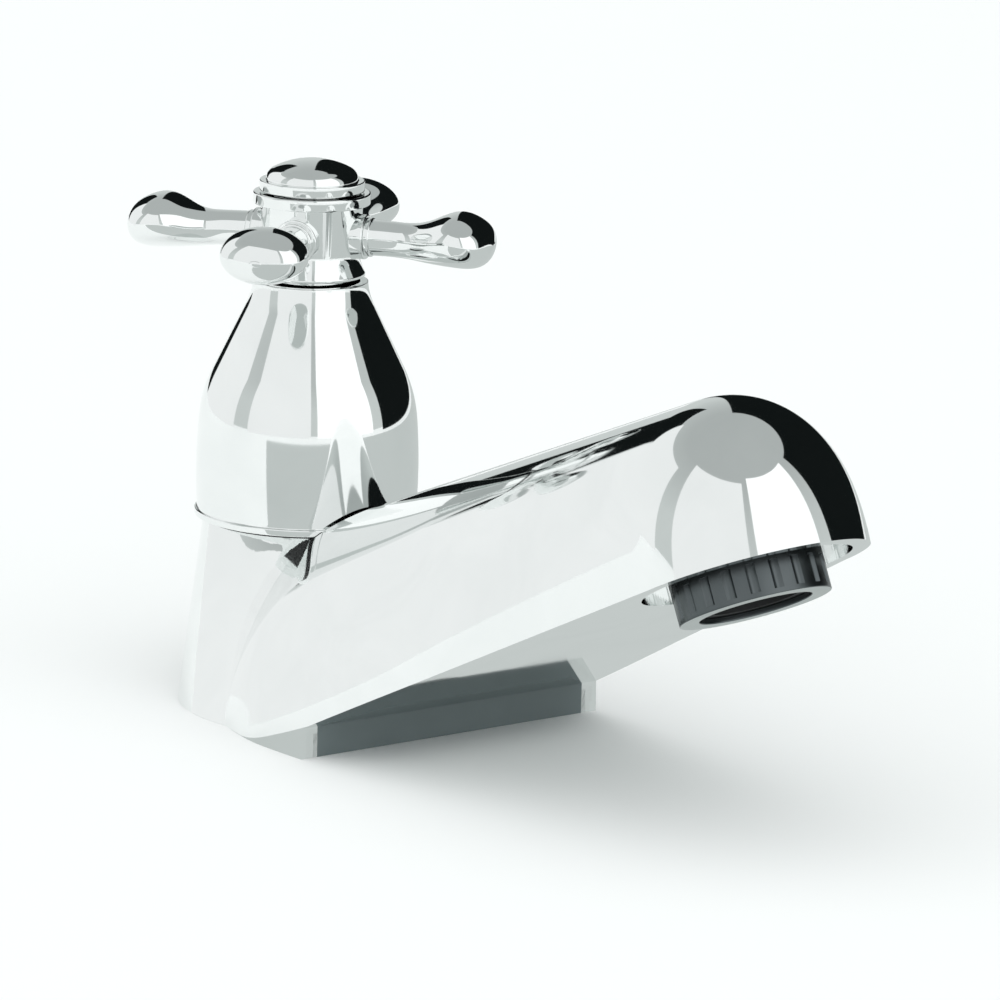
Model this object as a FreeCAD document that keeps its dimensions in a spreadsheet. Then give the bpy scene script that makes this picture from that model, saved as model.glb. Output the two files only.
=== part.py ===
import FreeCAD, Part
import math
import os
import re
import Sketcher

# Cross handle tap. Millimetres, +Z up. The origin is on the valve's axis in the plane of the deck,
# and the spout points to -Y. "Forward" is a distance from the axis towards the spout's nose.

document = FreeCAD.newDocument("crossHandleTap")
pieces = {}

# ---------------------------------------------------------------- driving dimensions
drivingSizes = {
    # shell: an oblique conical column that carries the bell, and a vaulted spout
    "columnHeight": 33.4,
    "columnTopRadius": 20.0,
    "footRadius": 32.5,
    "footForward": 14.0,
    "frontFaceForward": 47.5,
    "frontFaceHeight": 5.9,
    "undersideAngle": 26.1,
    "crownAngle": 21.5,
    "outletForward": 133.4,
    "noseRadius": 22.8,
    "noseHeight": 32.6,
    "frontHalfWidth": 35.3,
    "rootHalfWidth": 33.5,
    "rootForward": 16.7,
    "rootFullness": 1.15,
    "noseFullness": 2.5,
    "spoutStartForward": 9.3,
    "shellWall": 2.4,
    "topPlate": 3.0,
    "recessRadius": 19.5,
    "recessDepth": 3.6,
    "recessWall": 2.0,
    # base insert and its sloping lip
    "insertThickness": 4.6,
    "lipRun": 8.1,
    "lipRise": 6.2,
    "lipHalfWidthLow": 31.4,
    "lipHalfWidthHigh": 22.3,
    "lipThickness": 3.2,
    "gasketInset": 1.2,
    "gasketWidth": 1.4,
    "gasketThickness": 2.0,
    "insertScrewCount": 3,
    "screwCircleRadius": 19.5,
    "screwCircleForward": 9.0,
    "insertScrewRadius": 1.5,
    "insertScrewLength": 5.6,
    "insertHeadRadius": 3.0,
    "insertHeadHeight": 1.8,
    "insertHeadSink": 0.8,
    "insertDriveRadius": 1.3,
    "insertDriveDepth": 1.0,
    # water core, inlet and seat
    "flangeThickness": 4.0,
    "flangeRadius": 23.5,
    "barrelRadius": 15.5,
    "bushRadius": 12.0,
    "bushFloor": 2.0,
    "inletThreadRadius": 9.32,
    "inletPortRadius": 6.0,
    "chamberDepth": 13.4,
    "diaphragmThickness": 3.0,
    "seatBodyRadius": 8.0,
    "seatFlangeRadius": 9.6,
    "seatFlangeThickness": 1.0,
    "seatLipRadius": 7.2,
    "seatLipHeight": 1.4,
    "seatPortRadius": 5.4,
    # waterway and outlet
    "tubeStandOff": 2.4,
    "tubeStartRise": 4.1,
    "tubeEndBack": 11.0,
    "tubeEndRise": 16.6,
    "tubeRadius": 4.8,
    "tubeBore": 3.6,
    "socketWall": 1.15,
    "socketDepth": 6.0,
    "nippleRadius": 11.95,
    "nippleBore": 9.6,
    "nippleFlangeRadius": 14.0,
    "nippleFlangeThickness": 2.0,
    "chamberRadius": 11.5,
    "chamberRise": 22.2,
    "chamberCeiling": 2.0,
    # aerator, measured up the outlet's axis from the ring's lower face
    "ringRadius": 14.05,
    "ringDrop": 6.2,
    "ringHeight": 9.2,
    "ringOpening": 10.4,
    "ringLip": 1.2,
    "fluteCount": 20,
    "fluteRadius": 1.0,
    "fluteDepth": 0.55,
    "fluteStart": 1.0,
    "fluteLength": 5.3,
    "insertFlangeRadius": 11.8,
    "insertFlangeHeight": 1.7,
    "insertBodyRadius": 9.4,
    "insertBore": 8.4,
    "insertHeight": 8.6,
    "gridRise": 2.2,
    "gridThickness": 1.2,
    "gridHoleRadius": 0.8,
    "gridPitch": 2.4,
    "washerThickness": 1.5,
    "screenThickness": 0.4,
    "screenRise": 4.2,
    "screenSpacing": 1.2,
    "diffuserRise": 7.0,
    "diffuserThickness": 1.4,
    "diffuserHoleRadius": 0.7,
    "diffuserHoleCircle": 6.0,
    "diffuserHoleCount": 12,
    # headwork
    "bonnetThreadRadius": 10.4,
    "bonnetThreadLength": 6.2,
    "bonnetWasherThickness": 1.0,
    "bonnetWasherRadius": 14.4,
    "bonnetHexFlats": 24.0,
    "bonnetHexHeight": 7.0,
    "bonnetBodyRadius": 8.5,
    "bonnetNeckRadius": 7.0,
    "bonnetNeckSpare": 1.0,
    "seatingGap": 0.1,
    "tapWasherRadius": 7.0,
    "tapWasherThickness": 3.0,
    "jumperRadius": 7.4,
    "jumperThickness": 2.0,
    "pistonRadius": 6.0,
    "pistonLength": 12.5,
    "pistonFloor": 1.5,
    "liftTravel": 4.5,
    "liftSpare": 0.3,
    "washerScrewRadius": 1.9,
    "washerScrewLength": 6.0,
    "washerHeadRadius": 3.6,
    "washerHeadHeight": 1.8,
    "spindleRadius": 4.0,
    "spindleTailGap": 0.7,
    "collarRadius": 5.95,
    "collarAir": 2.5,
    "collarThickness": 3.0,
    "thrustThickness": 0.6,
    "thrustGap": 0.1,
    "sealGrooveRadius": 2.5,
    "sealGrooveWidth": 1.9,
    "sealGrooveRise": 4.0,
    "sealGrooveSpacing": 4.0,
    "sealSection": 0.72,
    "clipGrooveRadius": 3.2,
    "clipGap": 0.4,
    "clipThickness": 1.0,
    "clipRadius": 5.6,
    "clipMouth": 5.6,
    "splineCount": 20,
    "splineDepth": 0.3,
    "splineLength": 8.0,
    # bell, measured up from its rim
    "bellSealThickness": 0.6,
    "bellSealWidth": 1.6,
    "bellOverhang": 1.7,
    "bellRimHeight": 1.3,
    "bellRimStep": 0.45,
    "bellBarrelHeight": 19.0,
    "bellBarrelInset": 0.6,
    "bellBarrelArc": 122.0,
    "bellShoulderHeight": 29.0,
    "bellSlopeAngle": 26.2,
    "bellNeckAngle": 3.0,
    "bellNeckRadius": 11.1,
    "bellHeight": 46.0,
    "bellWall": 1.5,
    "bellWebRise": 26.0,
    "bellWebThickness": 2.0,
    "bellPocketGap": 0.4,
    "lockRingRadius": 9.2,
    "lockRingHeight": 4.0,
    # handle, measured up from the hub's foot
    "handleAngle": 307.0,
    "handleGap": 1.0,
    "hubHeight": 16.2,
    "hubFootRadius": 10.5,
    "hubFootEdge": 0.6,
    "hubWaistRadius": 9.3,
    "hubWaistRise": 5.0,
    "hubHighRadius": 9.9,
    "hubCollarRadius": 11.3,
    "hubCollarHeight": 2.2,
    "hubSpigotRadius": 8.4,
    "hubSpigotLength": 2.6,
    "hubSocketRise": 9.5,
    "hubWeb": 1.0,
    "hubRecessRadius": 7.6,
    "bossRadius": 4.3,
    "bossReach": 11.2,
    "armRise": 4.6,
    "armCollarRadius": 3.75,
    "armCollarThickness": 1.2,
    "armTenonRadius": 1.8,
    "armTenonLength": 5.0,
    "armRootRadius": 3.45,
    "armWaistReach": 16.4,
    "armWaistRadius": 3.4,
    "armSwellReach": 20.1,
    "armSwellRadius": 3.5,
    "armSwellSpread": 0.4,
    "armShoulderReach": 24.0,
    "armShoulderRadius": 4.15,
    "armShoulderSpread": 1.9,
    "armBulbReach": 28.6,
    "armBulbRadius": 5.25,
    "armBulbSpread": 3.0,
    "armBulbDrop": 1.0,
    "armBrowReach": 32.6,
    "armBrowRadius": 4.9,
    "armBrowSpread": 3.2,
    "armNoseReach": 35.2,
    "armNoseRadius": 3.3,
    "armNoseSpread": 2.4,
    "armNoseLift": 1.3,
    "armTipReach": 36.35,
    "armTipRadius": 0.6,
    "armTipSpread": 0.6,
    "armTipLift": 4.0,
    "spindleTopGap": 0.3,
    "handleScrewRadius": 1.95,
    "handleScrewLength": 10.0,
    "handleHeadRadius": 3.6,
    "handleHeadHeight": 2.2,
    "handleDriveRadius": 1.7,
    "handleDriveDepth": 1.4,
    "handleWasherRadius": 5.0,
    "handleWasherThickness": 0.5,
    "screwHoleSpare": 2.0,
    "capGap": 0.3,
    "capRingRadius": 10.1,
    "capRingHeight": 2.0,
    "capDomeRadius": 8.9,
    "capDomeHeight": 4.1,
    "capShoulderRadius": 7.4,
    "capShoulderRise": 2.3,
    "capSpigotLength": 3.6,
    "capSpigotWall": 1.2,
    # fits
    "seamGap": 0.15,
    "pieceGap": 0.1,
    "threadGap": 0.05,
    "turningGap": 0.05,
}

# places that follow from the driving dimensions
workedSizes = {
    "outletRise": "frontFaceHeight + tan(undersideAngle) * (outletForward - frontFaceForward)",
    "footRun": "frontFaceHeight / columnHeight",
    "coreTop": "columnHeight - topPlate",
    "bellRimRadius": "columnTopRadius + bellOverhang",
    "bellBarrelRadius": "bellRimRadius - bellBarrelInset",
    "bellBarrelRise": "bellBarrelHeight - bellRimHeight",
    "bellBarrelRun": "bellRimRadius - bellRimStep - bellBarrelRadius",
    "bellBarrelChord": "sqrt(bellBarrelRise ^ 2 + bellBarrelRun ^ 2)",
    "bellBarrelTurn": "asin(bellBarrelChord / 2 / bellBarrelArc) / 1 deg",
    "bellBarrelAngle": "atan2(bellBarrelRun; bellBarrelRise) / 1 deg + bellBarrelTurn",
    "bellShoulderRise": "bellShoulderHeight - bellBarrelHeight",
    "bellShoulderMiddle": "(bellBarrelAngle + bellSlopeAngle) / 2",
    "bellShoulderTurn": "(bellSlopeAngle - bellBarrelAngle) / 2",
    "bellShoulderRadius": "bellBarrelRadius - bellShoulderRise * tan(bellShoulderMiddle)",
    "bellShoulderArc": "bellShoulderRise / cos(bellShoulderMiddle) / 2 / sin(bellShoulderTurn)",
    "bellNeckMiddle": "(bellSlopeAngle + bellNeckAngle) / 2",
    "bellNeckTurn": "(bellSlopeAngle - bellNeckAngle) / 2",
    "bellNeckClimb": "bellHeight - bellShoulderHeight",
    "bellNeckDrop": "bellShoulderRadius - bellNeckRadius",
    "bellNeckRise": "(bellNeckClimb * tan(bellSlopeAngle) - bellNeckDrop)"
                    " / (tan(bellSlopeAngle) - tan(bellNeckMiddle))",
    "bellSlopeHeight": "bellHeight - bellNeckRise",
    "bellSlopeRadius": "bellNeckRadius + bellNeckRise * tan(bellNeckMiddle)",
    "bellNeckArc": "bellNeckRise / cos(bellNeckMiddle) / 2 / sin(bellNeckTurn)",
    "pocketRadius": "bellRimRadius + bellPocketGap",
    "diaphragmTop": "coreTop - chamberDepth",
    "bushHeight": "diaphragmTop - diaphragmThickness",
    "inletThreadLength": "bushHeight - bushFloor",
    "coreBoreRadius": "bonnetThreadRadius + threadGap",
    "seatTop": "diaphragmTop + seatFlangeThickness + seatLipHeight",
    "washerStart": "seatTop + seatingGap",
    "jumperStart": "washerStart + tapWasherThickness",
    "pistonStart": "jumperStart + jumperThickness",
    "pistonTop": "pistonStart + pistonLength",
    "pistonBoreFloor": "pistonStart + pistonFloor",
    "bonnetStart": "columnHeight - bonnetThreadLength",
    "hexStart": "columnHeight + bonnetWasherThickness",
    "hexTop": "hexStart + bonnetHexHeight",
    "jumperRoomTop": "pistonStart + liftTravel + liftSpare",
    "collarStart": "pistonTop + liftTravel + collarAir",
    "collarTop": "collarStart + collarThickness",
    "guideTop": "collarTop + thrustThickness + thrustGap",
    "bellStart": "columnHeight + bellSealThickness",
    "bonnetShoulder": "bellStart + bellWebRise",
    "lockStart": "bonnetShoulder + bellWebThickness",
    "bonnetTop": "lockStart + lockRingHeight + bonnetNeckSpare",
    "clipStart": "bonnetTop + clipGap",
    "clipTop": "clipStart + clipThickness",
    "spindleStart": "pistonBoreFloor + liftTravel + spindleTailGap",
    "sealStart": "guideTop + sealGrooveRise",
    "hubStart": "bellStart + bellHeight + handleGap",
    "hubTop": "hubStart + hubHeight",
    "hubFlareRun": "hubFootRadius - hubWaistRadius",
    "hubFlareRise": "hubWaistRise - hubFootEdge",
    "hubFlareArc": "(hubFlareRun ^ 2 + hubFlareRise ^ 2) / (2 * hubFlareRun)",
    "socketTop": "hubStart + hubSocketRise",
    "hubFloor": "socketTop + hubWeb",
    "spindleTop": "socketTop - spindleTopGap",
    "handleHeadStart": "hubFloor + handleWasherThickness",
    "screwHoleFloor": "handleHeadStart - handleScrewLength - screwHoleSpare",
    "armAxis": "hubStart + armRise + armRootRadius",
    "armStart": "bossReach + armCollarThickness",
    "capStart": "hubTop + capGap",
    "capRingTop": "capStart + capRingHeight",
    "ringFootForward": "outletForward + ringDrop * sin(undersideAngle)",
    "ringFootRise": "outletRise - ringDrop * cos(undersideAngle)",
    "insertStart": "ringLip",
    "aeratorWasherStart": "insertStart + insertFlangeHeight",
    "nippleStart": "aeratorWasherStart + washerThickness",
    "recessTop": "ringDrop + recessDepth",
    "recessFloorTop": "recessTop + recessWall",
    "nippleTop": "ringDrop + chamberRise",
    "tubeStartForward": "coreBoreRadius + tubeStandOff",
    "tubeStartHeight": "diaphragmTop + tubeStartRise",
    "tubeEndForward": "outletForward - tubeEndBack * cos(undersideAngle) - tubeEndRise * sin(undersideAngle)",
    "tubeEndHeight": "outletRise - tubeEndBack * sin(undersideAngle) + tubeEndRise * cos(undersideAngle)",
    "tubeRun": "tubeEndForward - tubeStartForward",
    "tubeClimb": "tubeEndHeight - tubeStartHeight",
    "tubeLength": "sqrt(tubeRun * tubeRun + tubeClimb * tubeClimb)",
    "tubeLean": "90 - atan2(tubeClimb; tubeRun) / 1 deg",
    "socketRadius": "tubeRadius + threadGap + socketWall",
    "gasketRadius": "footRadius - shellWall - seamGap - gasketInset",
    "capDomeRise": "capDomeHeight - capShoulderRise",
    "capTopArc": "(capShoulderRadius ^ 2 + capDomeRise ^ 2) / (2 * capDomeRise)",
    "capSideRun": "capDomeRadius - capShoulderRadius",
    "capSideArc": "(capSideRun ^ 2 + capShoulderRise ^ 2) / (2 * capSideRun)",
    "lipLength": "sqrt(lipRun * lipRun + lipRise * lipRise)",
    "lipAngle": "atan2(lipRise; lipRun) / 1 deg",
}


def spelled(text):
    """Returns the expression with each size's name led by the sheet that holds it."""
    def lead(match):
        word = match.group(0)
        if word in drivingSizes:
            return "sizes." + word
        if word in workedSizes:
            return "places." + word
        return word
    return re.sub(r"[A-Za-z][A-Za-z0-9]*", lead, text)


def makeSheet(name, cells):
    sheet = document.addObject("Spreadsheet::Sheet", name)
    for row, (alias, content) in enumerate(cells.items(), start=1):
        sheet.set("A%d" % row, alias)
        sheet.set("B%d" % row, content)
        sheet.setAlias("B%d" % row, alias)
    document.recompute()
    return sheet


sizes = makeSheet("sizes", {alias: str(size) for alias, size in drivingSizes.items()})
places = makeSheet("places", {alias: "=" + spelled(text).replace("places.", "")
                              for alias, text in workedSizes.items()})


def value(text):
    """Returns the number that an expression of sizes comes to."""
    return float(sizes.evalExpression(spelled(text)))


def bind(item, **expressions):
    for name, text in expressions.items():
        item.setExpression(name, spelled(text))


def place(item, across="0", back="0", up="0", axis=(0, 0, 1), turn="0"):
    """Sets a placement whose distances and turn follow the sizes."""
    rotation = FreeCAD.Rotation(FreeCAD.Vector(*axis), value(turn))
    base = FreeCAD.Vector(value(across), value(back), value(up))
    item.Placement = FreeCAD.Placement(base, rotation)
    parts = {"Base.x": across, "Base.y": back, "Base.z": up, "Rotation.Angle": turn}
    for path, text in parts.items():
        if text != "0":
            item.setExpression("Placement." + path, spelled(text))


def placeOnOutlet(item):
    """Stands an upright piece on the outlet's axis, which is square to the spout's underside."""
    place(item, back="-ringFootForward", up="ringFootRise", axis=(-1, 0, 0), turn="undersideAngle")


def addPiece(item, label):
    item.Label = label
    pieces[label] = item
    return item


# ---------------------------------------------------------------- building blocks
def cylinder(name, radius, height, **where):
    item = document.addObject("Part::Cylinder", name)
    bind(item, Radius=radius, Height=height)
    place(item, **where)
    return item


def box(name, width, depth, height, **where):
    item = document.addObject("Part::Box", name)
    bind(item, Length=width, Width=depth, Height=height)
    place(item, **where)
    return item


def combine(kind, name, first, second):
    item = document.addObject("Part::" + kind, name)
    item.Base = first
    item.Tool = second
    return item


def cut(name, first, second):
    return combine("Cut", name, first, second)


def fuse(name, *items):
    item = document.addObject("Part::MultiFuse", name)
    item.Shapes = list(items)
    return item


def gather(name, items):
    item = document.addObject("Part::Compound", name)
    item.Links = items
    return item


def planeOf(body, role):
    return next(feature for feature in body.Origin.OriginFeatures if feature.Role == role)


def newSketch(body, name, role, rise="0"):
    sketch = body.newObject("Sketcher::SketchObject", name)
    sketch.AttachmentSupport = [(planeOf(body, role), "")]
    sketch.MapMode = "FlatFace"
    if rise != "0":
        sketch.setExpression("AttachmentOffset.Base.z", spelled(rise))
    return sketch


def constrain(sketch, kind, *arguments, text):
    """Adds a dimension that follows an expression of sizes."""
    index = sketch.addConstraint(Sketcher.Constraint(kind, *arguments, value(text)))
    sketch.setExpression("Constraints[%d]" % index, spelled(text))


def pin(sketch, line, end, across, up):
    """Holds one point of a sketch at a distance across and up from the origin."""
    for kind, text, axisLine in (("DistanceX", across, -2), ("DistanceY", up, -1)):
        if text == "0":
            sketch.addConstraint(Sketcher.Constraint("PointOnObject", line, end, axisLine))
        else:
            constrain(sketch, kind, -1, 1, line, end, text=text)


def arcBetween(start, end, radius):
    """Returns the short arc from start to end; a positive radius bulges to the right of the way."""
    chord = end - start
    side = FreeCAD.Vector(chord.y, -chord.x, 0).normalize()
    bulge = abs(radius) - math.sqrt(radius * radius - chord.Length * chord.Length / 4)
    return Part.Arc(start, (start + end) / 2 + side * math.copysign(bulge, radius), end)


def drawOutline(sketch, corners):
    """Draws a closed outline. A corner is (across, up), or (across, up, radius) where an arc leaves it."""
    points = [FreeCAD.Vector(value(corner[0]), value(corner[1]), 0) for corner in corners]
    starts = []
    ends = []
    for index, corner in enumerate(corners):
        start = points[index]
        end = points[(index + 1) % len(points)]
        if len(corner) == 2:
            line = sketch.addGeometry(Part.LineSegment(start, end))
        else:
            line = sketch.addGeometry(arcBetween(start, end, value(corner[2])))
        startsHere = (sketch.getPoint(line, 1) - start).Length < (sketch.getPoint(line, 2) - start).Length
        starts.append((line, 1 if startsHere else 2))
        ends.append((line, 2 if startsHere else 1))
    for index, end in enumerate(ends):
        sketch.addConstraint(Sketcher.Constraint("Coincident", *end, *starts[(index + 1) % len(starts)]))
    for corner, start in zip(corners, starts):
        pin(sketch, *start, corner[0], corner[1])
        if len(corner) == 3:
            constrain(sketch, "Radius", start[0], text=corner[2].lstrip("-"))


def turned(label, corners):
    """Makes a body turned about its upright axis from one side of its outline."""
    body = document.addObject("PartDesign::Body", label)
    sketch = newSketch(body, label + "_outline", "XZ_Plane")
    drawOutline(sketch, corners)
    revolution = body.newObject("PartDesign::Revolution", label + "_turned")
    revolution.Profile = sketch
    revolution.ReferenceAxis = (sketch, ["V_Axis"])
    revolution.Angle = 360
    document.recompute()
    return body


def ring(inner, outer, low, high):
    """Returns the outline of a plain ring."""
    return [(inner, low), (outer, low), (outer, high), (inner, high)]


def drill(body, name, away, radius, low, depth, copies="1"):
    """Cuts a ring of upright holes or flutes, upwards from a level, and checks that each cuts."""
    sketch = newSketch(body, name + "_circle", "XY_Plane", rise=low)
    centre = FreeCAD.Vector(value(away), 0, 0)
    hole = sketch.addGeometry(Part.Circle(centre, FreeCAD.Vector(0, 0, 1), value(radius)))
    pin(sketch, hole, 3, away, "0")
    constrain(sketch, "Radius", hole, text=radius)
    volume = body.Shape.Volume
    pocket = body.newObject("PartDesign::Pocket", name)
    pocket.Profile = sketch
    pocket.setExpression("Length", spelled(depth))
    pocket.Reversed = True
    document.recompute()
    if body.Shape.Volume >= volume:
        raise RuntimeError(name + " cuts nothing")
    if value(copies) > 1:
        pattern = body.newObject("PartDesign::PolarPattern", name + "_pattern")
        pattern.Originals = [pocket]
        pattern.Axis = (sketch, ["N_Axis"])
        pattern.Angle = 360
        pattern.setExpression("Occurrences", spelled(copies))
        body.Tip = pattern
        document.recompute()


# ---------------------------------------------------------------- shell
sideStep = 15       # degrees of the vault's side between two of its points
sectionCount = 5    # evenly spaced sections of the spout, from the nose to inside the column


def tilted(text):
    """Returns the sine and cosine of an angle held by the sheet."""
    angle = math.radians(value(text))
    return math.sin(angle), math.cos(angle)


def sectionShape(along, inset):
    """Returns the half-width, foot and height of the vault at a distance back along the crown's slope."""
    sine, cosine = tilted("crownAngle")
    frontAlong = (value("outletForward - frontFaceForward") * cosine
                  + value("outletRise - frontFaceHeight") * sine)
    backAlong = value("outletForward") * cosine + value("outletRise") * sine
    rootAlong = value("outletForward - rootForward") * cosine + value("outletRise") * sine
    foot = -math.tan(math.radians(value("undersideAngle - crownAngle"))) * along
    if along <= frontAlong:
        share = along / frontAlong
        halfWidth = value("noseRadius") + share * value("frontHalfWidth - noseRadius")
    else:
        share = (along - frontAlong) / (backAlong - frontAlong)
        halfWidth = value("frontHalfWidth") + share * value("rootHalfWidth - frontHalfWidth")
    fullness = value("noseFullness") + value("rootFullness - noseFullness") * along / rootAlong
    return halfWidth - inset, foot, value("noseHeight") - inset - foot, fullness


def vaultPoint(along, inset, degrees):
    halfWidth, foot, height, fullness = sectionShape(along, inset)
    angle = math.radians(degrees)
    rise = height * math.sin(angle) ** (2 / fullness)
    return FreeCAD.Vector(halfWidth * math.cos(angle), along, foot + rise)


def vaultSide(along, inset):
    """Returns the right side of the vault, from its foot straight up to its level crown."""
    curve = Part.BSplineCurve()
    curve.interpolate(Points=[vaultPoint(along, inset, degrees) for degrees in range(0, 91, sideStep)],
                      InitialTangent=FreeCAD.Vector(0, 0, 1), FinalTangent=FreeCAD.Vector(-1, 0, 0))
    return curve.toShape()


def vaultSection(along, inset):
    """Returns the closed section of the spout: a vault over straight skirts that the underside trims."""
    halfWidth, foot = sectionShape(along, inset)[:2]
    low = foot - value("2 * frontFaceHeight")
    right = vaultSide(along, inset)
    left = right.mirror(FreeCAD.Vector(), FreeCAD.Vector(1, 0, 0))
    corners = [FreeCAD.Vector(side * halfWidth, along, height)
               for side, height in ((-1, foot), (-1, low), (1, low), (1, foot))]
    skirts = [Part.makeLine(start, end) for start, end in zip(corners, corners[1:])]
    return Part.Wire([right, left] + skirts)


def noseShape(inset):
    """Returns the half-round nose: one side of the outlet's own section, turned half a turn."""
    halfWidth, foot, height = sectionShape(0, inset)[:3]
    low = foot - value("2 * frontFaceHeight")
    corners = [FreeCAD.Vector(0, 0, foot + height), FreeCAD.Vector(0, 0, low),
               FreeCAD.Vector(halfWidth, 0, low), FreeCAD.Vector(halfWidth, 0, foot)]
    lines = [Part.makeLine(start, end) for start, end in zip(corners, corners[1:])]
    half = Part.Face(Part.Wire([vaultSide(0, inset)] + lines))
    return half.revolve(FreeCAD.Vector(), FreeCAD.Vector(0, 0, 1), -180)


def halfCircles(centre, radius):
    """Returns a level circle as two halves that meet at the back and at the front."""
    back = centre + FreeCAD.Vector(0, radius, 0)
    front = centre - FreeCAD.Vector(0, radius, 0)
    side = FreeCAD.Vector(radius, 0, 0)
    return [Part.Arc(back, centre - side, front).toShape(), Part.Arc(front, centre + side, back).toShape()]


def columnShape(inset):
    """Returns the oblique cone from below the deck to the column's top."""
    run = value("footRun")
    low = FreeCAD.Vector(0, -value("footForward") * (1 + run), -run * value("columnHeight"))
    high = FreeCAD.Vector(0, 0, value("columnHeight"))
    foot = halfCircles(low, value("footRadius + (footRadius - columnTopRadius) * footRun") - inset)
    top = halfCircles(high, value("columnTopRadius") - inset)
    faces = [Part.makeRuledSurface(lower, upper) for lower, upper in zip(foot, top)]
    faces += [Part.Face(Part.Wire(halves)) for halves in (foot, top)]
    return Part.makeSolid(Part.makeShell(faces))


def placeOnCrown(item):
    """Puts a form on the foot of the outlet's axis, tilted with the crown."""
    place(item, back="-outletForward", up="outletRise", axis=(-1, 0, 0), turn="crownAngle")


def shellForm(name, inset):
    """Makes the shell's solid form, or its hollow where it is inset. Both run on below the deck."""
    depth = value(inset)
    sine, cosine = tilted("crownAngle")
    lastAlong = value("outletForward - spoutStartForward") * cosine + value("outletRise") * sine
    sections = []
    for index in range(sectionCount):
        section = document.addObject("Part::Feature", "%s_section%d" % (name, index))
        section.Shape = vaultSection(lastAlong * index / (sectionCount - 1), depth)
        placeOnCrown(section)
        sections.append(section)
    spout = document.addObject("Part::Loft", name + "_spout")
    spout.Sections = sections
    spout.Solid = True
    nose = document.addObject("Part::Feature", name + "_nose")
    nose.Shape = noseShape(depth)
    placeOnCrown(nose)
    column = document.addObject("Part::Feature", name + "_column")
    column.Shape = columnShape(depth)
    return fuse(name, column, spout, nose)


def undersideBlock(name, rise):
    """Makes all that lies under the spout's underside, raised by a distance, and ahead of the front face."""
    reach = "2 * outletForward"
    drop = "(%s - %s)" % (rise, reach)
    slope = box(name + "_slope", reach, reach, reach)
    place(slope, across="-outletForward",
          back="-frontFaceForward - %s * cos(undersideAngle) + %s * sin(undersideAngle)" % (reach, drop),
          up="frontFaceHeight + %s * sin(undersideAngle) + %s * cos(undersideAngle)" % (reach, drop),
          axis=(-1, 0, 0), turn="undersideAngle")
    front = box(name + "_front", reach, reach, reach, across="-outletForward",
                back="-frontFaceForward - " + reach, up="frontFaceHeight - " + reach)
    return fuse(name, slope, front)


def makeTapBody():
    outer = shellForm("outerForm", "0")
    hollow = shellForm("hollowForm", "shellWall")
    cup = cylinder("recessCup", "recessRadius + recessWall", "recessFloorTop")
    placeOnOutlet(cup)
    surround = cylinder("pocketSurround", "pocketRadius + shellWall", "bellHeight", up="coreTop")
    room = cut("room", hollow, fuse("roomLimits", undersideBlock("plateLimit", "shellWall"), cup, surround))
    recess = cylinder("outletRecess", "recessRadius", "recessTop")
    placeOnOutlet(recess)
    nippleHole = cylinder("nippleHole", "nippleRadius + threadGap", "nippleTop")
    placeOnOutlet(nippleHole)
    pocket = cylinder("bellPocket", "pocketRadius", "bellHeight", up="columnHeight")
    bonnetHole = cylinder("bonnetHole", "bonnetThreadRadius + pieceGap", "bellHeight",
                          up="coreTop - topPlate")
    lipOpening = document.addObject("Part::Wedge", "lipOpening")
    bind(lipOpening, Xmin="-lipHalfWidthHigh - seamGap", Xmax="lipHalfWidthHigh + seamGap",
         X2min="-lipHalfWidthLow - seamGap", X2max="lipHalfWidthLow + seamGap",
         Ymin="-frontFaceForward - lipRun", Ymax="-frontFaceForward + seamGap",
         Zmin="-frontFaceHeight", Zmax="frontFaceHeight + lipRise + lipThickness",
         Z2min="-frontFaceHeight", Z2max="frontFaceHeight + lipRise + lipThickness")
    deck = box("deckBlock", "4 * outletForward", "4 * outletForward", "outletForward",
               across="-2 * outletForward", back="-2 * outletForward", up="-outletForward")
    outside = fuse("outside", undersideBlock("undersideLimit", "0"), deck)
    ribOpening = box("ribOpening", "2 * (lipHalfWidthLow + seamGap)", "lipThickness + 2 * seamGap",
                     "2 * frontFaceHeight + lipThickness * cos(lipAngle) + seamGap",
                     across="-lipHalfWidthLow - seamGap", back="-frontFaceForward - seamGap",
                     up="-frontFaceHeight")
    openings = fuse("shellOpenings", recess, nippleHole, pocket, bonnetHole, lipOpening, ribOpening)
    solid = cut("solidShell", outer, outside)
    walls = cut("shellWalls", solid, room)
    addPiece(cut("tapBody", walls, openings), "tap_body")


# ---------------------------------------------------------------- base
def layAlongTube(item, forward, up):
    """Lays a piece that was drawn upright along the waterway tube, from a point in the middle plane."""
    place(item, back="-(%s)" % forward, up=up, axis=(1, 0, 0), turn="tubeLean")


def screwSpots():
    """Returns the places of the screws in the base, as distances across and back."""
    spots = []
    for index in range(int(value("insertScrewCount"))):
        angle = "(%d * 360 / insertScrewCount)" % index
        across = "screwCircleRadius * sin(%s)" % angle
        spots.append((across, "-screwCircleForward - screwCircleRadius * cos(%s)" % angle))
    return spots


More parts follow.
